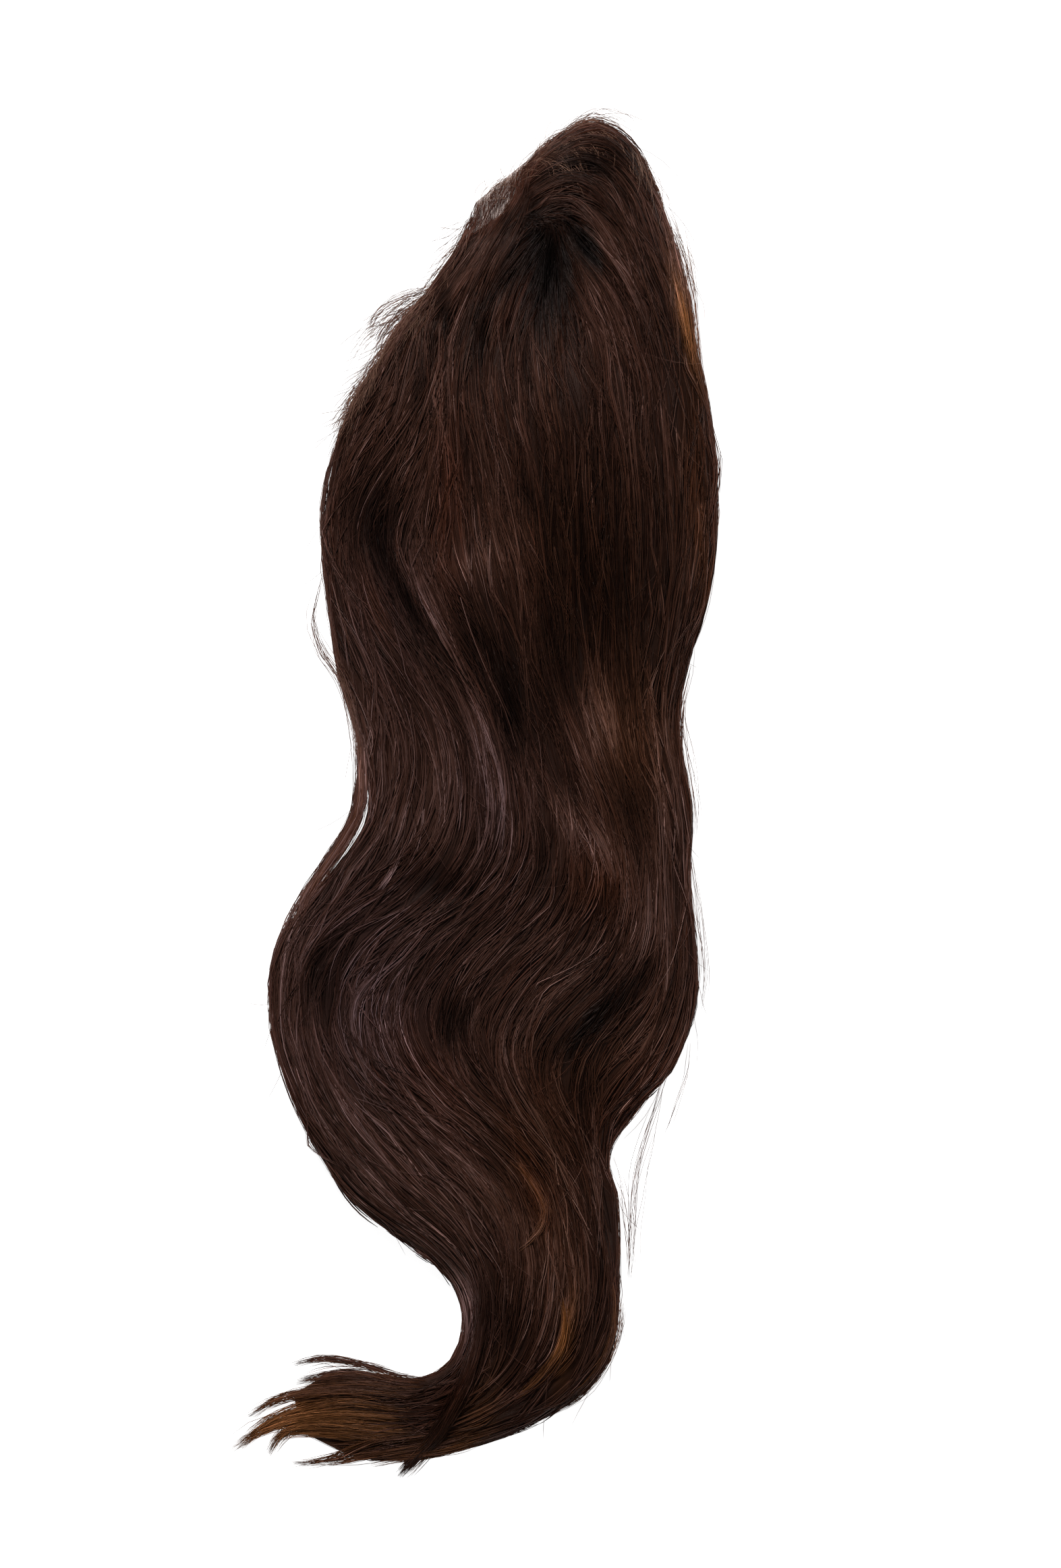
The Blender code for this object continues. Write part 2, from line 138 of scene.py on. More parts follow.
# Swells, hollows and patches of painted highlight and painted shade on the hair, read from the photo in its
# pixels.
# long, wide: half sizes; turn: degrees of the long way from straight down, towards the right;
# swell: height in metres; tone: painted highlight above 0, painted shade below
FORM_COLUMNS = ("x", "y", "long", "wide", "turn", "swell", "tone")
FORMS = np.array((
    (850, 640, 90, 75, 10, 0.0040, -0.14),
    (970, 480, 100, 30, 20, 0.0020, -0.20),
    (1022, 700, 120, 24, 0, 0.0000, -0.18),
    (915, 405, 70, 26, 28, 0.0020, 0.24),
    (1012, 450, 60, 12, 14, 0.0000, 0.30),
    (700, 610, 120, 35, 0, 0.0015, -0.14),
    (600, 600, 90, 50, -25, 0.0015, 0.04),
    (710, 845, 32, 70, 12, 0.0045, 0.30),
    (645, 920, 60, 15, 35, 0.0015, 0.40),
    (515, 890, 70, 22, 12, 0.0015, 0.06),
    (885, 1075, 60, 32, 10, 0.0035, 0.52),
    (870, 1240, 80, 26, 40, 0.0030, 0.54),
    (735, 1165, 105, 36, 8, 0.0035, 0.32),
    (645, 1180, 90, 34, -6, 0.0020, 0.26),
    (560, 1130, 120, 36, 12, 0.0020, 0.42),
    (990, 1215, 100, 18, 0, 0.0015, 0.14),
    (560, 1495, 90, 50, 5, 0.0030, 0.24),
    (610, 1385, 90, 20, -58, 0.0020, -0.02),
    (455, 1380, 70, 30, -20, 0.0015, 0.15),
    (885, 1330, 50, 40, 10, 0.0010, -0.34),
    (970, 1400, 95, 36, 0, 0.0025, 0.20),
    (790, 1430, 70, 36, -45, 0.0010, 0.04),
    (500, 1605, 110, 44, 28, 0.0020, 0.24),
    (640, 1650, 110, 95, 35, 0.0020, 0.12),
    (640, 1745, 110, 45, 38, 0.0020, 0.14),
    (735, 1790, 110, 40, 25, 0.0015, 0.10),
    (820, 1890, 110, 45, 5, 0.0020, 0.24),
    (955, 1555, 90, 30, -45, 0.0020, 0.22),
    (560, 1780, 70, 50, 40, 0.0015, 0.12),
    (800, 1760, 60, 50, 20, 0.0010, -0.02),
    (590, 2085, 70, 60, -85, 0.0000, -0.15),
    (815, 402, 68, 34, 0, -0.0045, -2.05),
    (885, 243, 30, 66, 12, -0.0020, -0.75),
    (905, 305, 40, 60, 15, -0.0010, -0.30),
    (800, 445, 70, 52, 0, -0.0020, -0.40),
    (560, 772, 60, 46, 0, -0.0035, -0.74),
    (600, 880, 90, 14, 26, -0.0030, -1.05),
    (880, 840, 155, 105, 5, -0.0025, -0.68),
    (700, 965, 62, 50, 20, -0.0030, -0.56),
    (756, 1060, 84, 24, 5, -0.0035, -1.12),
    (825, 1000, 90, 36, 5, -0.0015, -0.55),
    (685, 1110, 60, 12, 12, -0.0015, -0.40),
    (930, 1180, 62, 26, 15, -0.0020, -0.54),
    (650, 1308, 28, 50, -15, -0.0030, -0.62),
    (478, 1452, 42, 18, -5, -0.0025, -0.45),
    (668, 1508, 44, 22, 0, -0.0035, -0.92),
    (890, 1502, 95, 20, -46, -0.0040, -1.15),
    (865, 1610, 60, 46, 10, -0.0020, -0.30),
    (693, 1940, 70, 14, -4, -0.0010, 0.36),
    (755, 1970, 70, 30, 0, -0.0015, -0.18),
    (655, 2105, 60, 16, -25, -0.0010, -0.35),
    (868, 370, 38, 12, 32, -0.0030, -2.10),
    (742, 425, 50, 14, -32, -0.0020, -0.80),
    (712, 505, 52, 13, -8, -0.0020, -0.80),
    (660, 470, 45, 9, 4, -0.0015, -0.80),
    (628, 575, 45, 10, -4, -0.0015, -0.50),
    (785, 335, 36, 14, 0, -0.0015, -0.60),
    (750, 330, 30, 12, 0, -0.0010, -0.50),
    (850, 1180, 60, 18, 30, -0.0015, -0.30),
    (795, 1260, 70, 20, 8, -0.0015, -0.34),
    (785, 730, 40, 12, 28, -0.0015, -0.40),
))

# Patches of other browns, with the same first five columns. red, gold: shares of those colours;
# cool: cooler above 0, yellower below
TINT_COLUMNS = ("x", "y", "long", "wide", "turn", "red", "gold", "cool")
TINTS = np.array((
    (665, 750, 110, 22, 0, 0.9, 0.0, 0.0),
    (790, 440, 34, 60, 0, 0.8, 0.0, 0.0),
    (885, 1310, 50, 38, 15, 0.8, 0.1, 0.0),
    (640, 1600, 90, 40, 20, 0.4, 0.0, 0.0),
    (960, 1620, 90, 40, -40, 0.6, 0.0, 0.0),
    (560, 910, 60, 14, 20, 0.6, 0.1, 0.0),
    (1018, 478, 80, 12, 12, 0.0, 1.0, 0.0),
    (1045, 830, 200, 16, 5, 0.5, 0.2, 0.0),
    (940, 1080, 120, 60, 0, 0.0, 0.10, 0.0),
    (840, 1990, 70, 11, -8, 0.0, 0.75, 0.0),
    (700, 2130, 26, 90, 70, 0.0, 0.5, 0.0),
    (660, 2090, 80, 16, -28, 0.6, 0.0, 0.0),
    (405, 2130, 46, 110, 0, 0.0, 0.8, 0.0),
    (790, 1750, 90, 14, 20, 0.7, 0.1, 0.0),
    (540, 1450, 230, 130, 0, 0.0, 0.0, 1.0),
    (730, 1170, 150, 60, 5, 0.0, 0.0, 0.7),
    (575, 900, 170, 70, 10, 0.0, 0.0, 0.8),
    (705, 1970, 80, 30, 0, 0.0, 0.0, 0.5),
    (880, 850, 160, 100, 5, 0.0, 0.0, -1.0),
    (935, 1120, 120, 44, 0, 0.0, 0.0, -0.9),
    (850, 1610, 130, 80, -20, 0.0, 0.0, -0.8),
    (800, 1760, 110, 60, 10, 0.0, 0.0, -0.8),
    (835, 1920, 120, 60, 0, 0.0, 0.0, -0.5),
    (1020, 690, 150, 30, 0, 0.0, 0.0, -0.6),
    (960, 1560, 90, 60, -30, 0.0, 0.0, -0.4),
))

# Courses of the hair, read from the photo in its pixels as x, y, x, y and so on, from root to tip
COURSES = (
    # over the top of the head, from the lace to the right edge
    (722, 290, 765, 252, 810, 215, 855, 190, 905, 190, 950, 240, 990, 320, 1015, 410, 1032, 500, 1052, 590,
     1060, 680),
    (740, 300, 785, 262, 835, 235, 885, 232, 930, 268, 965, 340, 992, 430, 1015, 530, 1035, 640),
    (765, 315, 805, 280, 855, 262, 900, 285, 935, 340, 962, 400, 985, 470, 1000, 560, 1015, 680),
    (790, 330, 825, 305, 865, 305, 900, 340, 935, 395, 960, 450, 978, 520, 990, 600, 1000, 720),
    # from the part towards the back
    (835, 345, 865, 375, 900, 420, 930, 480, 950, 540, 962, 620, 972, 720, 980, 820),
    (830, 352, 850, 395, 878, 450, 900, 510, 915, 590, 925, 690, 930, 800),
    (826, 360, 835, 410, 855, 480, 872, 550, 885, 640, 890, 740, 893, 840),
    (822, 365, 815, 430, 815, 500, 828, 570, 845, 650, 850, 740, 852, 840),
    # from the part towards the face
    (815, 355, 790, 410, 765, 470, 752, 540, 760, 610, 780, 690, 792, 780),
    (805, 350, 770, 385, 735, 440, 715, 510, 712, 580, 725, 650, 745, 730, 760, 810),
    (790, 345, 750, 375, 712, 425, 690, 490, 680, 570, 685, 650, 700, 730, 720, 810, 735, 880),
    (765, 335, 730, 365, 692, 420, 668, 490, 657, 560, 655, 630, 660, 700, 665, 770),
    (740, 315, 710, 360, 672, 420, 642, 480, 632, 540, 620, 600, 592, 670, 552, 735),
    (715, 305, 690, 350, 655, 405, 622, 460, 598, 520, 575, 585, 540, 650, 508, 710),
    (700, 305, 670, 360, 635, 420, 600, 475, 568, 530, 540, 590, 510, 650, 490, 715, 479, 780),
    # the waist and the belly, from the face side to the back
    (478, 740, 478, 800, 486, 880, 502, 960, 526, 1040, 532, 1110, 526, 1180, 505, 1240, 468, 1300,
     430, 1360, 408, 1420, 398, 1480, 405, 1550, 430, 1620),
    (522, 690, 499, 755, 494, 830, 508, 900, 537, 970, 562, 1040, 570, 1110, 562, 1180, 540, 1240,
     495, 1300, 452, 1355, 424, 1415, 416, 1480, 424, 1550, 450, 1620, 490, 1690),
    (585, 660, 545, 730, 524, 800, 536, 860, 564, 920, 600, 982, 630, 1050, 650, 1120, 652, 1190, 635, 1250,
     590, 1310, 530, 1360, 480, 1412, 457, 1475, 462, 1545, 490, 1612, 535, 1680),
    (638, 655, 602, 735, 576, 805, 586, 865, 618, 930, 658, 992, 692, 1050, 713, 1120, 721, 1190, 711, 1260,
     670, 1320, 612, 1370, 556, 1422, 527, 1485, 533, 1548, 567, 1612, 622, 1672, 690, 1730),
    (668, 680, 654, 760, 648, 830, 668, 890, 703, 960, 737, 1040, 760, 1120, 771, 1200, 768, 1270,
     735, 1330, 680, 1380, 627, 1432, 598, 1492, 611, 1552, 655, 1612, 715, 1670, 770, 1730),
    (700, 720, 706, 800, 723, 870, 747, 950, 769, 1030, 791, 1110, 813, 1180, 826, 1250, 816, 1312,
     781, 1370, 732, 1422, 692, 1475, 681, 1532, 700, 1592, 745, 1650, 795, 1710),
    (760, 760, 775, 840, 790, 920, 805, 1000, 825, 1080, 850, 1160, 876, 1230, 890, 1300, 880, 1360,
     842, 1412, 792, 1462, 753, 1515, 747, 1572, 775, 1630, 815, 1690, 850, 1750),
    (830, 780, 840, 870, 850, 960, 862, 1040, 886, 1120, 916, 1190, 938, 1260, 948, 1330, 940, 1395,
     905, 1450, 857, 1502, 818, 1552, 812, 1602, 835, 1660, 865, 1720),
    (900, 800, 908, 900, 915, 990, 926, 1070, 946, 1150, 966, 1220, 978, 1300, 980, 1380, 965, 1440,
     927, 1500, 884, 1552, 862, 1602, 869, 1650, 886, 1700),
    (970, 800, 968, 900, 965, 1000, 968, 1080, 985, 1160, 998, 1250, 1003, 1340, 1003, 1420, 987, 1490,
     952, 1550, 914, 1602, 891, 1650, 892, 1700),
    (1030, 700, 1030, 800, 1012, 900, 992, 980, 984, 1060, 996, 1140, 1008, 1220, 1010, 1300, 1015, 1380,
     1018, 1440, 1008, 1510, 982, 1575, 942, 1625, 908, 1668, 896, 1710),
    (1062, 700, 1062, 800, 1046, 900, 1020, 980, 1008, 1060, 1014, 1140, 1024, 1220, 1022, 1300,
     1030, 1380, 1037, 1440, 1028, 1510, 1004, 1580, 960, 1630, 915, 1675, 902, 1720, 906, 1760,
     918, 1810),
    # from the belly into the tail
    (405, 1550, 430, 1630, 465, 1700, 510, 1765, 570, 1815, 630, 1855, 670, 1900, 684, 1950, 680, 2000,
     655, 2038, 600, 2050, 540, 2045, 480, 2038),
    (440, 1560, 470, 1640, 520, 1715, 580, 1775, 640, 1825, 690, 1880, 712, 1940, 705, 2000, 680, 2045,
     630, 2068, 570, 2070, 510, 2068, 440, 2076),
    (500, 1580, 545, 1650, 605, 1720, 665, 1785, 710, 1850, 730, 1915, 730, 1980, 705, 2040, 655, 2078,
     590, 2090, 520, 2092, 440, 2102),
    (560, 1590, 620, 1650, 690, 1715, 745, 1790, 765, 1860, 760, 1930, 740, 2000, 700, 2060, 640, 2100,
     570, 2108, 490, 2112, 420, 2128),
    (640, 1610, 705, 1670, 770, 1740, 800, 1820, 805, 1900, 790, 1980, 755, 2045, 700, 2090, 630, 2122,
     550, 2128, 480, 2128, 415, 2148),
    (720, 1620, 775, 1680, 820, 1750, 840, 1830, 845, 1910, 830, 1990, 790, 2050, 730, 2100, 660, 2135,
     590, 2148, 520, 2158),
    (800, 1640, 835, 1700, 865, 1770, 878, 1850, 880, 1930, 862, 2000, 820, 2055, 760, 2100, 690, 2138,
     620, 2160, 550, 2168),
    (870, 1680, 890, 1740, 903, 1810, 910, 1890, 908, 1960, 888, 2018, 845, 2072, 790, 2108, 720, 2140,
     650, 2165, 600, 2174),
)
# How far a course turns the hair beside it, and how far past the CAD's box a loose hair may go, sideways
# and lengthways
COURSE_REACH = 0.0085
LOOSE_REACH = (0.008, 0.014)

# Lowest middle line of a strand in a wisp or lock, and of a loose hair
LOWEST_STRAND = 0.0004
LOWEST_LOOSE = 0.0005

# Ends of a strand, which narrow as a power of the distance to the end: the share of the length that
# narrows, the least share of that distance that counts, and the power
FINE_END = 0.18
FINEST = 0.12
TAPER_POWER = 0.6

# Pieces of strands, from the crown to the tail: area of the photo that their wisps start from (left,
# top, right, bottom), share of the wisps of each layer, share of their length
STRAND_PIECES = (
    ("crown_strands", (560, 170, 1080, 470), 0.75, 0.6),
    ("upper_strands", (460, 440, 1080, 800), 1.0, 0.9),
    ("waist_strands", (460, 770, 1080, 1130), 0.95, 1.0),
    ("belly_strands", (380, 1100, 1060, 1480), 1.05, 1.0),
    ("lower_strands", (380, 1450, 1060, 1800), 0.95, 1.0),
    ("tail_strands", (400, 1770, 940, 2190), 0.6, 0.8),
)
PIECE_SEED = 30
LOOSE_SEED = 40

# Layers of wisps, from the deepest: wisps, strands in each, points on each, shortest and longest course,
# least and most depth, width of a strand, narrowest and widest wisp, all in metres; spread of the lean in
# radians; how much of the painted shade of the forms they leave out
WISP_LAYERS = (
    (50, 8, 10, (0.10, 0.22), (0.0010, 0.0022), 0.0008, (0.004, 0.010), 0.10, 0.0),
    (94, 11, 12, (0.12, 0.28), (0.0002, 0.0012), 0.0005, (0.003, 0.009), 0.10, 0.0),
    (76, 6, 11, (0.06, 0.16), (-0.0004, 0.0004), 0.00036, (0.001, 0.004), 0.20, 0.30),
)

# Wisps: places tried for each, share of the course by which an end may stay back, sideways wander in
# metres, its two waves in radians for each metre, thickness, how deep the ends dip, and painted shade as
# tone lost for each metre of depth
SEED_TRIES = 3
WISP_STAGGER = 0.45
WISP_WANDER = 0.0011
WISP_WAVES = (38, 85)
WISP_THICKNESS = 0.0014
WISP_DIP = 0.0016
WISP_SHADE = 190

# Locks: knots on the guide, share of it by which an end may stay back, how deep the ends dip, and painted
# shade as tone lost for each metre of depth
LOCK_KNOTS = 160
LOCK_STAGGER = 0.34
LOCK_DIP = 0.0022
LOCK_SHADE = 160

# Points of hair at the tail, with open ends: places, then width in metres, strands, tone and gold.
# The last one crosses over the tail, so it is darker than CROSSING_TONE and is lifted
CROSSING_TONE = -0.5
CROSSING_LIFT = 0.0025
TAIL_POINTS = (
    ((640, 2050, 590, 2043, 545, 2030, 505, 2022, 470, 2021, 428, 2031), 0.0040, 50, 0.00, 0.10),
    ((640, 2056, 590, 2052, 540, 2044, 500, 2042, 466, 2048, 434, 2055), 0.0070, 80, 0.00, 0.12),
    ((640, 2064, 580, 2062, 530, 2058, 490, 2060, 456, 2066, 432, 2072), 0.0070, 70, 0.05, 0.20),
    ((640, 2074, 580, 2070, 530, 2066, 480, 2068, 430, 2075, 395, 2088, 362, 2110), 0.0060, 80, 0.05, 0.30),
    ((640, 2092, 580, 2090, 520, 2084, 470, 2090, 425, 2102, 385, 2122, 348, 2152), 0.0080, 110, 0.10, 0.60),
    ((640, 2106, 580, 2106, 520, 2102, 465, 2106, 415, 2116, 375, 2134, 338, 2161), 0.0070, 100, 0.15, 0.80),
    ((640, 2120, 580, 2122, 520, 2120, 465, 2118, 428, 2124, 406, 2142, 392, 2168), 0.0080, 110, 0.15, 0.80),
    ((650, 2128, 590, 2132, 530, 2132, 480, 2130, 440, 2130, 410, 2136, 398, 2150), 0.0070, 70, 0.10, 0.60),
    ((690, 2120, 630, 2130, 570, 2136, 530, 2150, 500, 2166, 460, 2176, 424, 2179), 0.0050, 50, 0.00, 0.25),
    ((700, 2134, 640, 2146, 580, 2156, 540, 2164, 500, 2172, 470, 2174), 0.0070, 70, 0.00, 0.25),
    ((740, 2124, 690, 2146, 640, 2160, 590, 2166, 545, 2174), 0.0070, 80, 0.10, 0.45),
    ((676, 2086, 656, 2118, 634, 2148, 612, 2172, 592, 2196), 0.0100, 100, -0.10, 0.20),
    ((704, 1850, 716, 1910, 712, 1970, 698, 2030, 676, 2080, 650, 2126, 624, 2158, 588, 2198), 0.0080, 190,
     -0.52, 0.0),
)

# Locks over the lace and the top of the head, which the outline of the hair leaves out: places, width
# in metres, strands, tone and thickness
CROWN_LOCKS = (
    ((786, 268, 768, 300, 744, 342, 718, 388, 694, 436, 674, 490), 0.0110, 88, -0.10, 0.0030),
    ((760, 306, 742, 338, 718, 376, 690, 416, 662, 464, 642, 520), 0.0090, 72, 0.00, 0.0030),
    ((734, 320, 722, 346, 704, 380, 678, 420, 646, 464, 614, 510), 0.0090, 64, 0.00, 0.0026),
    ((706, 318, 694, 346, 679, 380, 656, 414, 628, 456, 600, 500), 0.0070, 56, 0.05, 0.0020),
    ((668, 412, 644, 440, 612, 474, 586, 512, 562, 556, 540, 600), 0.0060, 56, 0.10, 0.0020),
    ((640, 446, 618, 466, 597, 490, 580, 520, 566, 552), 0.0050, 32, 0.25, 0.0020),
    ((782, 290, 776, 320, 758, 360, 734, 402, 716, 450, 706, 500), 0.0120, 80, -0.15, 0.0030),
    ((800, 348, 772, 376, 744, 412, 722, 456, 708, 506, 702, 566), 0.0080, 48, 0.15, 0.0030),
    ((806, 352, 782, 390, 762, 432, 748, 480, 740, 530), 0.0070, 40, -0.10, 0.0026),
    ((768, 262, 792, 238, 826, 212, 864, 190, 902, 188, 938, 218, 966, 268), 0.0110, 72, 0.20, 0.0030),
    ((772, 270, 796, 248, 828, 228, 862, 210, 902, 214, 938, 250, 962, 306), 0.0110, 72, 0.00, 0.0030),
    ((764, 286, 796, 264, 832, 244, 872, 240, 908, 262, 934, 306), 0.0110, 64, -0.20, 0.0026),
    ((776, 298, 806, 280, 842, 268, 876, 280, 904, 312, 926, 358), 0.0100, 56, 0.05, 0.0026),
    ((792, 312, 820, 300, 850, 302, 878, 328, 904, 366, 928, 410), 0.0090, 48, 0.25, 0.0026),
    ((836, 352, 860, 384, 892, 424, 920, 476, 940, 534), 0.0090, 48, 0.15, 0.0026),
    ((850, 330, 884, 360, 920, 408, 950, 466, 970, 530), 0.0090, 48, 0.00, 0.0026),
    ((822, 372, 838, 408, 862, 452, 886, 504, 902, 560), 0.0080, 40, 0.20, 0.0026),
)

# Locks of their own on the waist, the belly and the tail: places, width in metres, strands, tone, lighter
# above 0 as a painted highlight, and gold
FEATURE_LOCKS = (
    ((745, 1696, 780, 1738, 803, 1776, 806, 1806, 786, 1838, 750, 1868), 0.0045, 36, 0.30, 0.12),
    ((826, 1900, 838, 1950, 832, 1992, 812, 2026, 784, 2056, 744, 2084), 0.0060, 46, 0.10, 0.55),
    ((905, 1880, 912, 1930, 908, 1980, 890, 2024, 860, 2062, 822, 2092), 0.0050, 34, 0.20, 0.30),
    ((530, 1040, 533, 1100, 536, 1156, 532, 1200, 513, 1240, 483, 1284, 455, 1328, 438, 1372, 430, 1424),
     0.0080, 170, 0.05, 0.05),
    ((628, 940, 660, 990, 684, 1040, 702, 1092, 712, 1150, 712, 1210), 0.0070, 46, 0.25, 0.0),
    ((838, 1150, 866, 1200, 892, 1248, 908, 1300, 908, 1352), 0.0070, 46, 0.15, 0.0),
    ((600, 1420, 560, 1440, 530, 1476, 524, 1520, 540, 1566), 0.0060, 40, 0.30, 0.0),
    ((592, 1266, 582, 1290, 566, 1314, 550, 1336), 0.0018, 16, 1.40, 0.0),
    ((470, 1560, 498, 1620, 538, 1680, 590, 1738, 644, 1790), 0.0060, 40, 0.30, 0.0),
)

# Loose wisps off the edges: places, width in metres, strands and gold
LOOSE_WISPS = (
    ((1000, 1560, 985, 1600, 975, 1640, 960, 1690, 946, 1750, 940, 1830, 942, 1900), 0.0060, 14, 0.0),
    ((1024, 1540, 1018, 1590, 1002, 1640, 985, 1690), 0.0050, 5, 0.0),
    ((486, 830, 470, 880, 462, 920, 476, 965, 505, 1005, 524, 1060, 532, 1130, 520, 1190), 0.0044, 26, 0.0),
    ((545, 1150, 532, 1205, 505, 1255, 470, 1305, 438, 1352), 0.0040, 12, 0.0),
    ((1030, 940, 1022, 1000, 1012, 1060, 1022, 1120, 1030, 1190, 1032, 1260), 0.0050, 9, 0.0),
    ((1020, 1230, 1030, 1300, 1040, 1370, 1046, 1440, 1040, 1500), 0.0060, 9, 0.0),
    ((905, 1720, 925, 1780, 932, 1850, 930, 1920), 0.0060, 8, 0.1),
    ((912, 1900, 920, 1960, 905, 2015, 872, 2062, 835, 2095), 0.0060, 16, 0.4),
    ((560, 1815, 600, 1835, 640, 1862, 668, 1900), 0.0040, 8, 0.2),
    ((1008, 310, 1022, 380, 1032, 460, 1042, 540), 0.0050, 10, 0.4),
    ((660, 420, 628, 434, 596, 442, 570, 456, 553, 478, 547, 506), 0.0050, 18, 0.2),
    ((644, 436, 612, 452, 586, 470, 566, 496, 556, 528), 0.0070, 18, 0.1),
)

# Hairs down the sides of the pile, from the floor to its edges: how many, points on each, width
SIDE_HAIRS = 200
SIDE_STEPS = 14
SIDE_WIDTH = 0.0006

# Edges of the hair that fine hairs run along: side of the outside (-1 left, 1 right), hairs, places
EDGE_LINES = (
    (-1, 420, (700, 305, 690, 345, 664, 396, 640, 430, 596, 478, 560, 540, 528, 590, 507, 640, 484, 705,
               475, 770, 480, 830, 487, 900, 503, 985, 530, 1090, 526, 1160, 512, 1220, 470, 1290,
               430, 1350, 406, 1420, 398, 1475, 404, 1540, 436, 1640, 478, 1722, 545, 1800, 620, 1845,
               672, 1905)),
    (1, 440, (770, 250, 806, 220, 850, 184, 900, 180, 942, 210, 970, 262, 990, 325, 1012, 395, 1022, 440,
              1032, 508, 1050, 580, 1062, 690, 1062, 806, 1048, 900, 1016, 1000, 1007, 1080, 1024, 1200,
              1022, 1300, 1034, 1410, 1032, 1488, 1006, 1568, 950, 1642, 902, 1712, 914, 1782, 917, 1890,
              914, 1975, 898, 2030, 852, 2083, 775, 2123)),
)

# Hairs along an edge: knots of the line for each place of it, points on each hair, shortest and longest
# length, how far inside the line a hair may start, how far outside it is headed, the share of that way
# that it goes, width, and share of the painted colour of hair with light behind it
EDGE_KNOTS = 40
EDGE_STEPS = 9
EDGE_LENGTHS = (0.03, 0.09)
EDGE_INWARD = 0.0030
EDGE_OUTWARD = 0.0035
EDGE_SWING = 0.6
EDGE_WIDTH = 0.00036
EDGE_PALE = 0.40

# Single hairs as arcs: the line that they start from, its spread in pixels, hairs, heading and turn in
# degrees with the spread of each, shortest and longest, width, tone, share of the painted colour of hair
# with light behind it.
# The groups: down the temple, over the temple's edge, baby hairs at the temple, the crown, the back of
# the head, off the lace's edge, over the lace
ARC_GROUPS = (
    ((698, 320, 668, 396, 632, 440, 590, 486, 560, 535, 530, 590, 510, 640), 5, 300,
     (222, 15), (14, 18), (0.006, 0.024), 0.00026, 0.2, 0.4),
    ((634, 446, 604, 474, 576, 512, 550, 556, 524, 606), 7, 260,
     (230, 11), (20, 14), (0.008, 0.022), 0.00024, 0.2, 0.4),
    ((655, 425, 620, 462, 590, 490), 5, 60,
     (180, 10), (62, 14), (0.024, 0.050), 0.00024, 0.2, 0.4),
    ((770, 254, 806, 222, 840, 194, 862, 186), 5, 240,
     (56, 13), (-112, 20), (0.020, 0.046), 0.00024, 0.2, 0.5),
    ((905, 190, 945, 220, 975, 280, 1000, 350, 1014, 410), 4, 90,
     (-56, 8), (-30, 10), (0.014, 0.034), 0.00022, 0.2, 0.6),
    ((708, 300, 740, 278, 790, 245, 830, 212), 5, 90,
     (70, 22), (-60, 25), (0.005, 0.020), 0.00022, 0.2, 0.7),
    ((704, 304, 715, 296, 745, 269, 778, 243, 796, 228), 2.5, 150,
     (262, 7), (-10, 14), (0.012, 0.032), 0.00030, -0.2, 0.0),
)

# Points on each arc, and how deep its start dips into the hair
ARC_STEPS = 8
ARC_DIP = 0.0012

# Single hairs all over the hair: area of the photo (left, top, right, bottom), places tried, hairs
FLYAWAY_AREA = (430, 200, 1050, 2050)
FLYAWAY_TRIES = 800
FLYAWAYS = 340

# The slabs under the strands: rows and columns of their grid, share of the width that they take up, how
# far the top lies under the hair's height, least thickness, share of the width where the bottom starts
# to round off, how far it rises there, painted shade of the slabs between the strands, and painted light
# and shade for each metre of the ridges
BED_ROWS = 150
BED_COLUMNS = 44
BED_INSET = 0.993
BED_SINK = 0.0014
BED_WALL = 0.0010
BED_ROUND = 0.8
BED_RISE = 0.0030
BED_PAINTED_SHADE = -0.8
BED_RIDGE_SHADE = 160

# Finishes of the hair, as linear colours: its own brown, red and gold; HAIR_LIT, the painted colour of
# highlights on lit hair; the pale one, the painted colour of fine hair with light behind it
HAIR_BROWN = np.array((0.0442, 0.0186, 0.0123))
HAIR_RED = np.array((0.0600, 0.0165, 0.0078))
HAIR_GOLD = np.array((0.1150, 0.0430, 0.0130))
HAIR_LIT = np.array((0.0442, 0.0268, 0.0240))
HAIR_PALE_BACKLIT = np.array((0.2300, 0.1250, 0.0850))
COOL_SPAN = np.array((-0.10, 0.0, 0.20))
HAIR_SHINE = (1.0, 0.80, 0.74, 1)
RED_SHARE = 0.75

# Painted light and shade of the hair: how strongly the painted highlights and shade of the forms count,
# what the outline adds in tone and in red as painted light that comes through the hair, the tone at which
# the colour would be all that of lit hair as a painted highlight, and the most that its share may be
PAINTED_LIGHT_CONTRAST = 2.0
EDGE_LIGHT = 0.45
EDGE_LIGHT_WARMTH = 0.60
LIT_TONE = 1.8
LIT_LIMIT = 0.8

# Tones along a strand: middle and spread of its own level; mean and most of its glint; shortest and
# longest reach of the glint, as shares of the strand
STRAND_LEVEL = (-0.16, 0.42)
GLINT_TONE = 0.42
GLINT_LIMIT = 1.1
GLINT_REACH = (0.08, 0.24)

# Finishes of the cap and the lace, and the threads' scale
CAP_COLOUR = (0.060, 0.036, 0.026)
LACE_COLOUR = (0.52, 0.41, 0.37)
NET_SCALE = 260.0

# Lights: name, place, size and power
LIGHTS = (
    ("key", (-0.35, 1.45, 1.9), 0.5, 66.0),
    ("fill", (0.9, -0.5, 1.9), 1.4, 6.0),
)


def from_photo(x, y):
    """Turn photo pixels into places on the surface, measured from the hair's right and top edges."""
    across = (np.asarray(x, float) - PHOTO_RIGHT) * PIXEL + HAIR_RIGHT
    return np.stack((across, HAIR_TOP - (np.asarray(y, float) - PHOTO_TOP) * PIXEL), axis=-1)


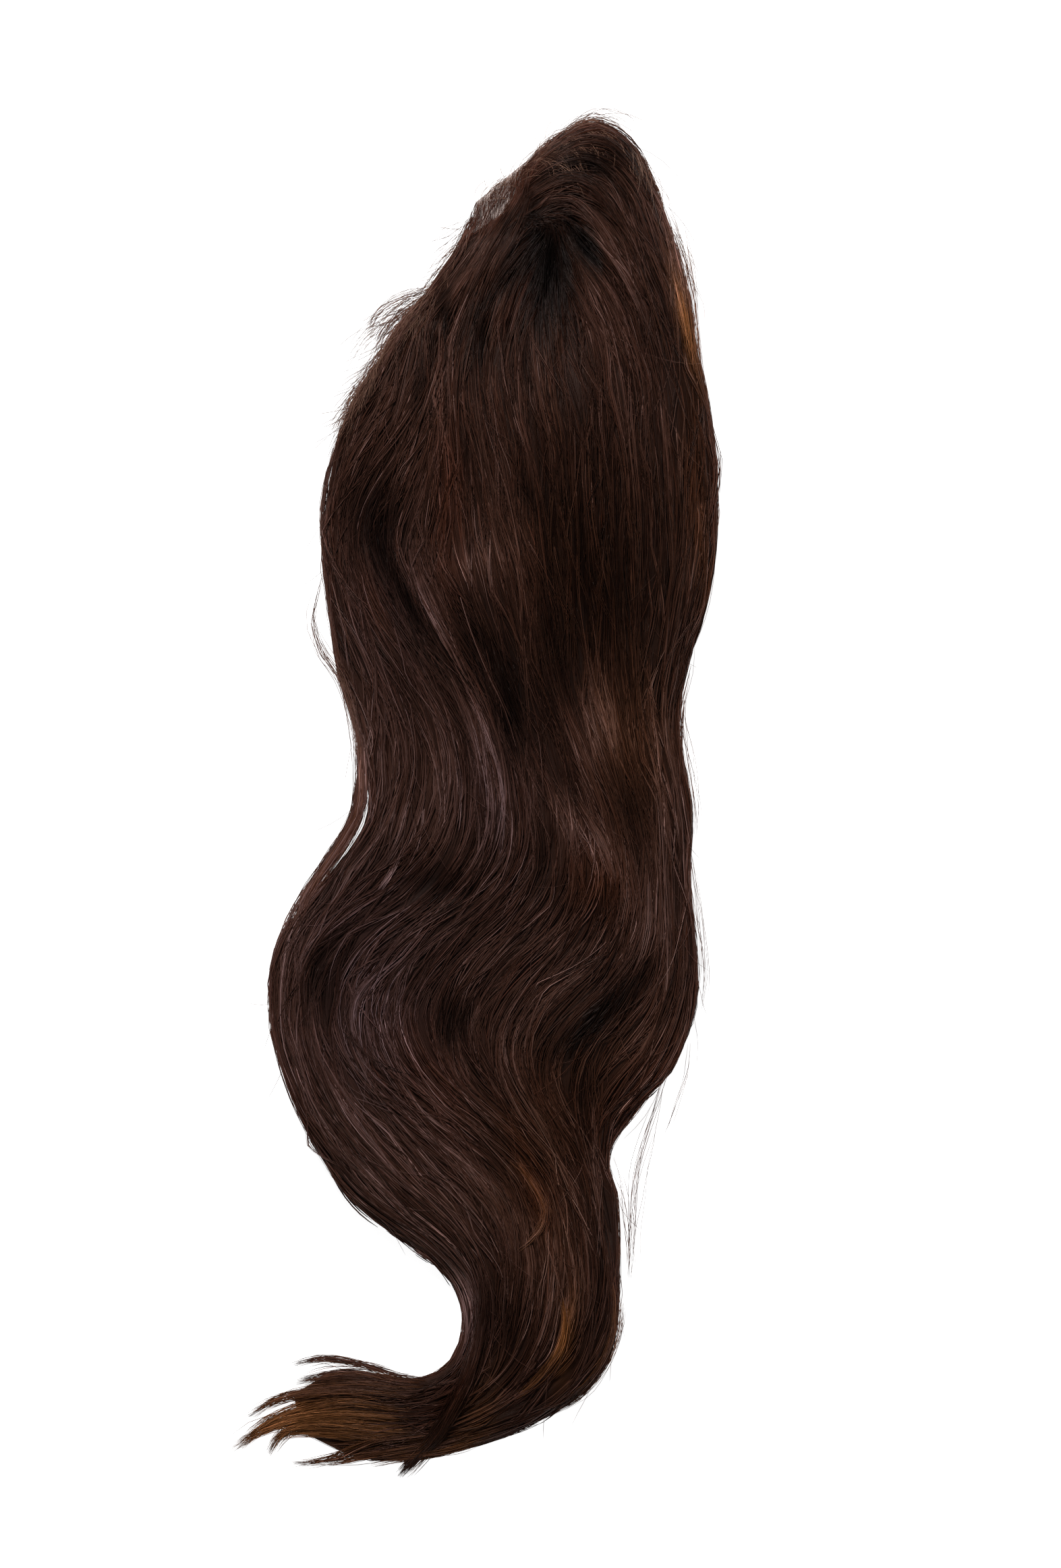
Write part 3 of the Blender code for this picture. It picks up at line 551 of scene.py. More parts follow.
def smooth_through(rows, where):
    """Run a smooth curve through the rows of a table, read at fractions of a row.

    Between two rows it is the cubic that has their values and, at each, the slope from the row before it
    to the row after it. The first and last rows are carried on straight.
    """
    padded = np.vstack((2 * rows[0] - rows[1], rows, 2 * rows[-1] - rows[-2]))
    first = np.clip(np.floor(where).astype(int), 0, len(rows) - 2)
    t = (where - first)[..., None]
    a, b, c, d = (padded[first + k] for k in range(4))
    return 0.5 * (2 * b + (c - a) * t + (2 * a - 5 * b + 4 * c - d) * t ** 2
                  + (3 * b - a - 3 * c + d) * t ** 3)


def step_up(value, low, high):
    """0 below low, 1 above high, and three times t squared less two times t cubed between."""
    t = np.clip((value - low) / (high - low), 0, 1)
    return t * t * (3 - 2 * t)


def unit(vectors):
    """Directions of length 1: vectors over their lengths."""
    return vectors / (np.linalg.norm(vectors, axis=-1, keepdims=True) + 1e-12)


def left_of(way):
    """Directions turned a quarter turn to the left."""
    return np.stack((-way[..., 1], way[..., 0]), axis=-1)


def lengths_along(points):
    """Length from the first point to each, along straight lines between them."""
    steps = np.linalg.norm(np.diff(points, axis=0), axis=1)
    return np.concatenate(((0,), steps.cumsum()))


def mix_cells(table, where):
    """A table's value at fractions of a cell: the four cells around, each weighed by how near it is."""
    first = np.clip(np.floor(where).astype(int), 0, np.array(table.shape[:2]) - 2)
    part = np.clip(where - first, 0, 1)
    x, y = first[..., 0], first[..., 1]
    a, b = part[..., 0], part[..., 1]
    if table.ndim == 3:
        a, b = a[..., None], b[..., None]
    return ((1 - a) * (1 - b) * table[x, y] + a * (1 - b) * table[x + 1, y]
            + (1 - a) * b * table[x, y + 1] + a * b * table[x + 1, y + 1])


def neighbours(grid):
    """The grid moved by one cell, both ways along both axes."""
    return [np.roll(grid, shift, axis) for axis in (0, 1) for shift in (-1, 1)]


class Guide:
    """A smooth course through photo places, read at lengths along it."""

    def __init__(self, places, knots):
        points = np.array(places, float).reshape(-1, 2)
        curve = smooth_through(points, np.linspace(0, len(points) - 1, knots))
        self.course = from_photo(curve[:, 0], curve[:, 1])
        self.run = lengths_along(self.course)
        self.length = self.run[-1]

    def place(self, at):
        """Places at lengths along the course, on straight lines between its knots."""
        return np.stack([np.interp(at, self.run, self.course[:, k]) for k in (0, 1)], axis=-1)

    def across(self, at, reach):
        """The direction to the left of the course, which is taken from a reach before to a reach after."""
        return left_of(unit(self.place(at + reach) - self.place(at - reach)))


class Flow:
    """The sections, made into a smooth table of many rows, and the height of the hair over them.

    A row has the middle of the section, half of the section as a vector, the flow lines with the two
    edges as line 0 and line 6, the heights of the crest and of the hair underneath, and the lip. A flow
    coordinate counts the lines, with fractions between them.
    """

    MIDDLE = slice(0, 2)
    HALF = slice(2, 4)
    LINES = slice(4, 11)
    CREST = 11
    UNDER = 12
    LIP = 13

    def __init__(self):
        where = np.linspace(0, len(SECTIONS) - 1, ROWS_DENSE)
        rows = smooth_through(SECTIONS, where)
        left = from_photo(rows[:, 0], rows[:, 1])
        right = from_photo(rows[:, 2], rows[:, 3])
        lines = rows[:, 4:9]
        crest, under, lip = rows[:, 9:12].T
        middle = (left + right) / 2
        edge = np.ones(len(rows))
        self.where = where
        self.run = lengths_along(middle)
        self.length = self.run[-1]
        self.table = np.column_stack((middle, (right - left) / 2, -edge, lines, edge,
                                      crest * HAIR_HEIGHT, under * UNDER_HEIGHT, lip))

    def length_at(self, section):
        """Length down the hair where a section lies, given by its number."""
        return np.interp(section, self.where, self.run)

    def read(self, down):
        """All columns of the table at lengths down the hair, on straight lines between its rows."""
        spot = np.interp(down, self.run, np.arange(len(self.run)))
        first = np.clip(np.floor(spot).astype(int), 0, len(self.run) - 2)
        part = (spot - first)[..., None]
        return self.table[first] * (1 - part) + self.table[first + 1] * part

    def flow_of(self, rows, share):
        """The flow coordinate at a share of the half width, on straight lines between the flow lines."""
        lines = rows[..., self.LINES]
        flow = np.zeros(share.shape)
        for k in range(lines.shape[-1] - 1):
            low, high = lines[..., k], lines[..., k + 1]
            flow = np.where(share >= low, k + (share - low) / (high - low), flow)
        return flow

    def dome(self, rows, share):
        """1 over the middle, falling as a power of the share to the lip at each edge."""
        lip = np.where(share < 0, rows[..., self.LIP], BACK_LIP)
        return 1 - (1 - lip) * np.clip(np.abs(share), 0, 1.1) ** EDGE_POWER

    def seam(self, rows, share):
        """Height of the face between the hair underneath and the hair on top: a lower dome of its own."""
        return rows[..., self.UNDER] * (SEAM_EDGE + (1 - SEAM_EDGE) * self.dome(rows, share))

    def crown(self, rows, share):
        """Height of the hair without its relief: the dome, from the seam up to the crest."""
        seam = self.seam(rows, share)
        return seam + (rows[..., self.CREST] - seam) * self.dome(rows, share)

    def place(self, rows, share):
        """Places at shares of the half width: the middle plus the share of the half section."""
        return rows[..., self.MIDDLE] + share[..., None] * rows[..., self.HALF]

    def top(self, rows, share, down, flow):
        """Height of the hair: the dome, the swells, and ridges that run with the flow.

        Swells and ridges fade towards the edges and where the hair is thin.
        """
        inside = np.clip(1.15 - np.abs(share), 0, 1)
        relief = forms(self.place(rows, share), "swell") * inside + ridges(flow, down) * (0.3 + 0.7 * inside)
        return self.crown(rows, share) + relief * step_up(rows[..., self.CREST], *THIN_CREST)


def patches(spot, table):
    """How much each patch of a table covers each place: a bell curve in its own long and wide ways."""
    x, y, long, wide, turn = table[:, :5].T
    angle = np.radians(turn)
    offset = spot[..., None, :] - from_photo(x, y)
    down = offset[..., 0] * np.sin(angle) - offset[..., 1] * np.cos(angle)
    across = offset[..., 0] * np.cos(angle) + offset[..., 1] * np.sin(angle)
    return np.exp(-(down / (long * PIXEL)) ** 2 - (across / (wide * PIXEL)) ** 2)


def forms(spot, column):
    """Sum of one column of the table of forms at each place, each row weighed by its patch."""
    return patches(spot, FORMS) @ FORMS[:, FORM_COLUMNS.index(column)]


def ridges(flow, down):
    """Height of the ridges between locks: three waves across the flow, whose phase drifts down the hair."""
    slow = 0.55 * np.sin(down * 9.0 + 0.7) + 0.35 * np.sin(down * 21.0 + flow)
    broad = np.sin(2 * math.pi * (flow * 1.25 + slow * 0.6))
    middle = np.sin(2 * math.pi * (flow * 2.9 + slow + 0.35 * np.sin(down * 15.0)))
    fine = np.sin(2 * math.pi * (flow * 6.3 + 1.7 * slow + 0.5 * np.sin(down * 26.0 + 2 * flow)))
    return RIDGE_HEIGHTS[0] * broad + RIDGE_HEIGHTS[1] * middle + RIDGE_HEIGHTS[2] * fine


def cap_roof(spot):
    """Height of the cap's outside, with its clearance: a stretched ball on its base, 0 outside its rim."""
    angle = math.pi / 2 - CAP_SLANT
    offset = spot - from_photo(*MOUTH_AT)
    along = offset[..., 0] * math.cos(angle) + offset[..., 1] * math.sin(angle)
    deep = offset[..., 1] * math.cos(angle) - offset[..., 0] * math.sin(angle)
    along = along / (CAP_MOUTH / 2 + CLEARANCE)
    deep = deep / (CAP_DEPTH + CLEARANCE)
    left = np.clip(1 - along ** 2 - deep ** 2, 0, 1)
    return np.where(left > 0, CAP_BASE + (CAP_HEIGHT + CLEARANCE) * np.sqrt(left), 0)


def hair_colour(spot, tone, warmth=0.0, gold=0.0, pale=0.0):
    """Brown hair, with the painted highlights and shade of the forms, a tone, and patches of other browns.

    The hair is painted lighter and warmer at its edges, as light that comes through it. The shade is e to
    the power of the tone. A shade above 1 mixes in the colour of lit hair, a painted highlight. A cool patch
    multiplies the colour by e to the power of its cool span. Pale is the share of the painted colour of a
    fine hair with light behind it.
    """
    cover = patches(spot, TINTS)
    red, golden, cool = (cover @ TINTS[:, TINT_COLUMNS.index(name)] for name in ("red", "gold", "cool"))
    edge = surface.edge(spot)
    red = np.clip(red + warmth + EDGE_LIGHT_WARMTH * edge, 0, 1)[..., None] * RED_SHARE
    golden = np.clip(golden + gold, 0, 1)[..., None]
    shade = np.exp(forms(spot, "tone") * PAINTED_LIGHT_CONTRAST + tone + EDGE_LIGHT * edge)[..., None]
    colour = HAIR_BROWN * (1 - red) + HAIR_RED * red
    colour = colour * (1 - golden) + HAIR_GOLD * golden
    lit = np.clip(np.log(shade) / LIT_TONE, 0, LIT_LIMIT) * (1 - 0.7 * golden)
    colour = (colour * (1 - lit) + HAIR_LIT * lit) * shade
    colour = colour * np.exp(np.clip(cool, -1, 1)[..., None] * COOL_SPAN)
    share = np.asarray(pale)[..., None]
    return colour * (1 - share) + HAIR_PALE_BACKLIT * share


def build_piece(name, points, quads, triangles, uv, colour, material):
    """Put arrays into a smooth mesh of hair, with a UV map and a colour for each point."""
    mesh = bpy.data.meshes.new(name)
    mesh.vertices.add(len(points))
    mesh.vertices.foreach_set("co", points.astype(np.float32).ravel())
    loops = np.concatenate((quads.ravel(), triangles.ravel())).astype(np.int32)
    mesh.loops.add(len(loops))
    mesh.loops.foreach_set("vertex_index", loops)
    starts = np.concatenate((np.arange(len(quads)) * 4, 4 * len(quads) + np.arange(len(triangles)) * 3))
    mesh.polygons.add(len(starts))
    mesh.polygons.foreach_set("loop_start", starts.astype(np.int32))
    mesh.update(calc_edges=True)
    mesh.shade_smooth()
    layer = mesh.uv_layers.new(name="flow")
    layer.data.foreach_set("uv", uv[loops].astype(np.float32).ravel())
    rgba = np.concatenate((colour, np.ones((len(points), 1))), axis=1)
    shade = mesh.color_attributes.new("hair_colour", "FLOAT_COLOR", "POINT")
    shade.data.foreach_set("color", rgba.astype(np.float32).ravel())
    mesh.materials.append(material)
    item = bpy.data.objects.new(name, mesh)
    bpy.context.scene.collection.objects.link(item)
    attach(item, "root")
    return item


def closed_slab(top, bottom):
    """Close the space between two grids of points, both rows by columns: top, bottom, sides and ends."""
    rows, columns = top.shape[:2]
    points = np.concatenate((top.reshape(-1, 3), bottom.reshape(-1, 3)))
    index = np.arange(rows * columns).reshape(rows, columns)
    low = index + rows * columns
    face = [(index[1:, :-1], index[1:, 1:], index[:-1, 1:], index[:-1, :-1]),
            (low[:-1, :-1], low[:-1, 1:], low[1:, 1:], low[1:, :-1]),
            (index[:-1, 0], low[:-1, 0], low[1:, 0], index[1:, 0]),
            (index[1:, -1], low[1:, -1], low[:-1, -1], index[:-1, -1]),
            (index[0, 1:], low[0, 1:], low[0, :-1], index[0, :-1]),
            (index[-1, :-1], low[-1, :-1], low[-1, 1:], index[-1, 1:])]
    quads = np.concatenate([np.stack([corner.ravel() for corner in corners], axis=1) for corners in face])
    return points, quads


def tubes(spine, radius, turn):
    """Three-sided closed tubes along spines, all with the same number of points.

    A ring is the spine's point plus the radius times a turning mix of two directions: the one across
    the spine and level, and the one across both. The ends are closed with a triangle.
    """
    count, steps = spine.shape[:2]
    along = unit(np.gradient(spine, axis=1))
    side = unit(np.cross(along, (0.0, 0.0, 1.0)))
    rise = np.cross(side, along)
    rings = []
    for k in range(3):
        angle = turn[:, None, None] + 2 * math.pi * k / 3
        rings.append(spine + radius[..., None] * (np.cos(angle) * side + np.sin(angle) * rise))
    points = np.stack(rings, axis=2).reshape(-1, 3)
    index = np.arange(count * steps * 3).reshape(count, steps, 3)
    here, ahead = index[:, :-1], index[:, 1:]
    quads = [np.stack((here[..., k], here[..., (k + 1) % 3], ahead[..., (k + 1) % 3], ahead[..., k]),
                      axis=-1).reshape(-1, 4) for k in range(3)]
    caps = np.concatenate((index[:, 0, ::-1], index[:, -1]))
    return points, np.concatenate(quads), caps


def waver(down, count, waves):
    """A smooth wandering offset for each strand: a sum of sine waves, each given by size and wavelength."""
    total = np.zeros((count, down.shape[1]))
    for size, length in waves:
        phase = rng.uniform(0, 2 * math.pi, (count, 1))
        stretch = rng.uniform(0.7, 1.4, (count, 1))
        turns = down / (length * stretch)
        total += size * rng.normal(0, 1, (count, 1)) * np.sin(2 * math.pi * turns + phase)
    return total


def random_share(middle, spread, count):
    """Random shares from a bell curve, kept from 0 to 1."""
    return np.clip(rng.normal(middle, spread, count), 0, 1)


def strand_tones(count, steps):
    """Tone along each strand: a level of its own, and a bell curve where it catches the light."""
    part = np.linspace(0, 1, steps)[None, :]
    level = rng.normal(*STRAND_LEVEL, (count, 1))
    glint = np.minimum(rng.exponential(GLINT_TONE, (count, 1)), GLINT_LIMIT)
    where = rng.uniform(0, 1, (count, 1))
    reach = rng.uniform(*GLINT_REACH, (count, 1))
    return level + glint * np.exp(-((part - where) / reach) ** 2)


def points_over(spot, height, lowest=LOWEST_STRAND):
    """Points at heights over places, none lower than the lowest."""
    return np.concatenate((spot, np.maximum(height, lowest)[..., None]), axis=-1)


class Strands:
    """Strands gathered for one piece."""

    def __init__(self, name):
        self.name = name
        self.points, self.quads, self.caps, self.uv, self.colour = [], [], [], [], []
        self.total = 0

    def add(self, spine, width, tone, warmth, gold, pale=0.0):
        """Add strands along spines, with a width for each and a tone along each.

        The radius is half the width, and less within FINE_END of the ends. The UV map has a random place
        across and the length along.
        """
        count, steps = spine.shape[:2]
        part = np.linspace(0, 1, steps)
        taper = np.clip(np.minimum(part, 1 - part) / FINE_END, FINEST, 1) ** TAPER_POWER
        radius = width[:, None] / 2 * taper
        points, quads, caps = tubes(spine, radius, rng.uniform(0, 2 * math.pi, count))
        colour = hair_colour(spine[..., :2], tone, warmth[:, None], gold, pale)
        self.points.append(points)
        self.quads.append(quads + self.total)
        self.caps.append(caps + self.total)
        run = np.linalg.norm(np.diff(spine, axis=1), axis=2).cumsum(axis=1)
        run = np.concatenate((np.zeros((count, 1)), run), axis=1)
        place = rng.uniform(0, 1, (count, 1, 1)) + np.arange(3) / 3000
        uv = np.stack(np.broadcast_arrays(place, run[..., None]), axis=-1)
        self.uv.append(uv.reshape(-1, 2))
        self.colour.append(np.repeat(colour[:, :, None, :], 3, axis=2).reshape(-1, 3))
        self.total += len(points)

    def build(self, material):
        """Make the piece."""
        arrays = (self.points, self.quads, self.caps, self.uv, self.colour)
        build_piece(self.name, *(np.concatenate(parts) for parts in arrays), material)


class HeightMap:
    """The height of the hair's top face over even cells of the surface, with soft sides beyond it."""

    # Size of a cell and width of the band beyond the CAD's box, in metres; samples down and across the
    # hair; share of the band that the sides fill; share of the height that each ring keeps; nearness of
    # cells 1, 2 and more from the outline; height of the hair over the cap, in metres
    CELL = 0.0015
    MARGIN = 0.060
    SAMPLES = (1100, 500)
    SIDE_REACH = 0.7
    SIDE_FALL = 0.92
    NEARNESS = (0.85, 0.55, 0.30, 0.12, 0.0)
    ROOF_COVER = 0.0025

    def __init__(self, flow_map):
        """Average the height of the hair in each cell over even samples of the hair."""
        self.low = np.array([cad_box[0].x, cad_box[0].y]) - self.MARGIN
        size = np.array([cad_box[1].x, cad_box[1].y]) + self.MARGIN - self.low
        cells = (size / self.CELL).astype(int) + 1
        down = np.linspace(0, flow_map.length, self.SAMPLES[0])[:, None] * np.ones((1, self.SAMPLES[1]))
        share = np.linspace(-1, 1, self.SAMPLES[1])[None, :] * np.ones((self.SAMPLES[0], 1))
        rows = flow_map.read(down)
        height = flow_map.top(rows, share, down, flow_map.flow_of(rows, share))
        index = ((flow_map.place(rows, share) - self.low) / self.CELL).astype(int)
        index = np.clip(index, 0, cells - 1)
        spot = index[..., 0] * cells[1] + index[..., 1]
        weight = np.bincount(spot.ravel(), minlength=cells.prod()).reshape(cells)
        total = np.bincount(spot.ravel(), weights=height.ravel(), minlength=cells.prod()).reshape(cells)
        on_bed = spot[down[:, 0] < flow_map.length_at(BED_END)].ravel()
        self.covered = np.bincount(on_bed, minlength=cells.prod()).reshape(cells) > 0
        self.nearness = self.near_the_edge()
        self.height = np.where(weight > 0, total / np.maximum(weight, 1), 0)
        self.carry_outwards((weight > 0).astype(float))
        middles = (self.low[k] + (np.arange(cells[k]) + 0.5) * self.CELL for k in (0, 1))
        x, y = np.meshgrid(*middles, indexing="ij")
        roof = cap_roof(np.stack((x, y), axis=-1))
        self.height = np.where(roof > 0, np.maximum(self.height, roof + self.ROOF_COVER), self.height)

    def near_the_edge(self):
        """1 in cells outside the hair; inside, NEARNESS for cells 1, 2 and more from the outline."""
        nearness = np.where(self.covered, 0.0, 1.0)
        left = self.covered.copy()
        for near in self.NEARNESS:
            nearness[left] = near
            left = left & np.logical_and.reduce(neighbours(left))
        return nearness

    def carry_outwards(self, known):
        """Carry the height on beyond the hair, ring by ring: the mean of the known neighbours, lowered."""
        for _ in range(int(self.MARGIN / self.CELL * self.SIDE_REACH)):
            near_total = sum(neighbours(self.height * known))
            near_known = sum(neighbours(known))
            fresh = (known == 0) & (near_known > 0)
            self.height[fresh] = self.SIDE_FALL * near_total[fresh] / near_known[fresh]
            known[fresh] = 1

    def read(self, spot):
        """Height at places."""
        return mix_cells(self.height, (spot - self.low) / self.CELL - 0.5)

    def edge(self, spot):
        """How near places are to the hair's outline: 1 outside it, 0 from 7 mm inside it."""
        return mix_cells(self.nearness, (spot - self.low) / self.CELL - 0.5)

    def inside(self, spot):
        """Whether places lie on the hair, as read from the nearest cell."""
        where = np.clip(((spot - self.low) / self.CELL).astype(int), 0, np.array(self.height.shape) - 1)
        return self.covered[where[..., 0], where[..., 1]]


class Field:
    """Directions of the hair over coarse cells: the courses' own directions, mixed by how near they are."""

    # Size of a cell, in metres; knots of a course for each place of it; steps of a traced course to each
    # side, and the fewest that are kept
    CELL = 0.004
    KNOTS = 12
    STEPS = 24
    SHORTEST = 6

    def __init__(self, surface):
        """Weigh each course's direction by a narrow bell curve of its distance, and a faint wide one."""
        self.surface = surface
        self.low = surface.low
        size = np.array(surface.height.shape) * surface.CELL
        cells = (size / self.CELL).astype(int) + 2
        guides = [Guide(course, self.KNOTS * len(course) // 2) for course in COURSES]
        places = np.concatenate([guide.course for guide in guides])
        ways = np.concatenate([unit(np.gradient(guide.course, axis=0)) for guide in guides])
        corners = (self.low[k] + np.arange(cells[k]) * self.CELL for k in (0, 1))
        x, y = np.meshgrid(*corners, indexing="ij")
        self.way = np.zeros((*cells, 2))
        for k in range(cells[0]):
            gap = (x[k][:, None] - places[:, 0]) ** 2 + (y[k][:, None] - places[:, 1]) ** 2
            weight = np.exp(-gap / COURSE_REACH ** 2) + 1e-5 * np.exp(-gap / (5 * COURSE_REACH) ** 2) + 1e-12
            self.way[k] = weight @ ways

    def read(self, spot):
        """Direction at places, of length 1."""
        return unit(mix_cells(self.way, (spot - self.low) / self.CELL))

    def trace(self, seeds, half, lean):
        """Follow the directions both ways from seeds, half of each length to a side, turned by a lean.

        A course ends where it leaves the hair, and is dropped where little of it is left. Gives places
        (courses, 2 * STEPS + 1, 2), spread evenly over what is left of each.
        """
        turn = np.stack((np.cos(lean), np.sin(lean)), axis=-1)
        sides = []
        for sign in (-1.0, 1.0):
            spot, course = seeds.copy(), []
            stride = (half / self.STEPS)[:, None] * sign
            for _ in range(self.STEPS):
                way = self.read(spot)
                way = self.read(spot + way * stride / 2)
                way = way * turn[:, :1] + left_of(way) * turn[:, 1:] * sign
                spot = spot + way * stride
                course.append(spot)
            sides.append(np.stack(course, axis=1))
        full = np.concatenate((sides[0][:, ::-1], seeds[:, None], sides[1]), axis=1)
        good = self.surface.inside(full)
        ahead = np.minimum.accumulate(good[:, self.STEPS:], axis=1).sum(axis=1) - 1
        back = np.minimum.accumulate(good[:, self.STEPS::-1], axis=1).sum(axis=1) - 1
        first, last = self.STEPS - np.maximum(back, 0), self.STEPS + np.maximum(ahead, 0)
        keep = last - first >= self.SHORTEST
        even = np.linspace(0, 1, 2 * self.STEPS + 1)[None, :]
        where = even * (last - first)[:, None] + first[:, None]
        return read_courses(full, np.arange(len(full)), where)[keep]


def read_courses(courses, owner, where):
    """Places at fractions of a step along courses: owner is the course of each row of where."""
    low = np.minimum(where.astype(int), courses.shape[1] - 2)
    part = (where - low)[..., None]
    owner = owner[:, None]
    return courses[owner, low] * (1 - part) + courses[owner, low + 1] * part


def lay_wisps(strands, area, wisps, per_wisp, steps, reach, depth, width, wide, lean, clear):
    """Lay wisps of strands along the field, each a flat bundle that narrows at its ends.

    A wisp starts from a random place within an area of the photo (left, top, right, bottom). Its strands
    share its course and its wander, which is two sine waves across it. Each keeps a place across it, and
    adds a little wander of its own. Its back is a half ellipse over its width. Strands deeper down and
    towards its sides are darker, as painted shade. Clear is how much of the painted shade of the forms
    they leave out.
    """
    left, top, right, bottom = area
    tries = wisps * SEED_TRIES
    seeds = from_photo(rng.uniform(left, right, tries), rng.uniform(top, bottom, tries))
    seeds = seeds[surface.inside(seeds)][:wisps]
    half = rng.uniform(*reach, len(seeds)) / 2
    course = field.trace(seeds, half, rng.normal(0, lean, len(seeds)))
    owner = np.repeat(np.arange(len(course)), per_wisp)
    count = len(owner)
    begin = rng.uniform(0, WISP_STAGGER, count)
    stop = 1 - rng.uniform(0, WISP_STAGGER, count)
    part = begin[:, None] + (stop - begin)[:, None] * np.linspace(0, 1, steps)
    spot = read_courses(course, owner, part * (course.shape[1] - 1))
    across = left_of(unit(np.gradient(spot, axis=1)))
    length = np.linalg.norm(np.diff(course, axis=1), axis=2).sum(axis=1)
    at = part * length[owner, None]
    phase = rng.uniform(0, 2 * math.pi, (len(course), 2))[owner]
    size = rng.normal(0, WISP_WANDER, (len(course), 2))[owner]
    wave = (size[:, :1] * np.sin(at * WISP_WAVES[0] + phase[:, :1])
            + size[:, 1:] * 0.5 * np.sin(at * WISP_WAVES[1] + phase[:, 1:]))
    own = waver(at, count, ((0.0005, 0.12), (0.00025, 0.04)))
    place = rng.uniform(-1, 1, (count, 1))
    girth = rng.uniform(*wide, len(course))[owner, None] / 2
    neck = 0.45 + 0.55 * np.sin(math.pi * part)
    spot = spot + across * (place * girth * neck + wave + own)[..., None]
    sunk = rng.uniform(*depth, len(course))[owner, None]
    back = WISP_THICKNESS * np.sqrt(1 - place ** 2) * neck
    local = np.linspace(0, 1, steps)[None, :]
    dip = WISP_DIP * (1 - step_up(np.minimum(local, 1 - local), 0.0, 0.16))
    height = surface.read(spot) - sunk + back - dip + waver(at, count, ((0.00018, 0.07),))
    # Tone: painted glints, the wisp's own level, painted shade deeper down and towards the wisp's sides
    tone = strand_tones(count, steps) + rng.normal(0, 0.30, len(course))[owner, None] - sunk * WISP_SHADE
    tone = tone + 0.15 - 0.45 * place ** 2
    tone = tone - clear * PAINTED_LIGHT_CONTRAST * np.minimum(forms(spot, "tone"), 0)
    warmth = random_share(0.03, 0.22, count)
    gold = random_share(-0.14, 0.10, count)[:, None]
    strands.add(points_over(spot, height), width * rng.uniform(0.7, 1.4, count), tone, warmth, gold)


def lay_lock(strands, places, count, width, steps, thick, tone, gold=0.0, lift=0.0, loose=1.0,
             strand_width=0.00042, sink=0.0010, pale=0.0, pale_end=0.0, open_ends=(False, False)):
    """Lay one lock along a guide of photo places, as a bundle with a rounded back.

    Each strand keeps a place across the lock and crosses it a little; the lock is narrow at its ends,
    and a strand starts and stops where it likes within the lock. Its back is a half ellipse across and a
    half sine wave along. The ends dip under the hair around them, where they aren't open.
    """
    guide = Guide(places, LOCK_KNOTS)
    open_start, open_stop = open_ends
    begin = rng.uniform(0, LOCK_STAGGER, count) * (1 - open_start * 0.8)
    stop = 1 - rng.uniform(0, LOCK_STAGGER, count) * (1 - open_stop * 0.5)
    local = np.linspace(0, 1, steps)[None, :]
    part = begin[:, None] + (stop - begin)[:, None] * local
    at = part * guide.length
    place = np.clip(rng.normal(0, 0.42, (count, 1)), -1, 1)
    neck = 0.55 + 0.45 * np.sin(math.pi * np.clip(part, 0, 1)) ** 0.8
    drift = waver(at, count, ((0.0011 * loose, 0.22), (0.0006 * loose, 0.09), (0.0003, 0.035)))
    cross = rng.normal(0, 0.16 * loose, (count, 1)) * (part - 0.5)
    offset = (place + cross) * width / 2 * neck + drift
    spot = guide.place(at) + guide.across(at, 0.002) * offset[..., None]
    back = np.sqrt(np.clip(1 - (place + cross) ** 2, 0, 1)) * thick
    back = back * np.sin(math.pi * np.clip(part, 0.02, 0.98))
    start_dip = (1 - step_up(local, 0, 0.14)) * (not open_start)
    stop_dip = (1 - step_up(1 - local, 0, 0.14)) * (not open_stop)
    depth = rng.uniform(0, 1, (count, 1)) ** 1.5 * sink
    height = surface.read(spot) + back - depth - LOCK_DIP * (start_dip + stop_dip)
    height = height + lift * np.sin(math.pi * part) + waver(at, count, ((0.0002 * loose, 0.08),))
    # Tone: painted glints, the lock's own level, painted shade deeper down and towards the lock's sides
    shade = tone + strand_tones(count, steps) - depth * LOCK_SHADE + 0.1 - 0.3 * place ** 2
    warmth = random_share(0.05, 0.25, count)
    golden = random_share(gold, 0.15, count)[:, None] * (gold > 0)
    # Pale mixes in the painted colour of hair with light behind it, more towards the end with pale_end
    strands.add(points_over(spot, height), strand_width * rng.uniform(0.75, 1.25, count), shade, warmth,
                golden, np.clip(pale + pale_end * (part - 0.6), 0, 1))


def within_limits(spine):
    """Which strands stay close enough to the hair's own box."""
    low = np.array([cad_box[0].x - LOOSE_REACH[0], cad_box[0].y - LOOSE_REACH[1]])
    high = np.array([cad_box[1].x + LOOSE_REACH[0], cad_box[1].y + LOOSE_REACH[1]])
    good = (spine[..., :2] > low) & (spine[..., :2] < high)
    return good.all(axis=(1, 2))


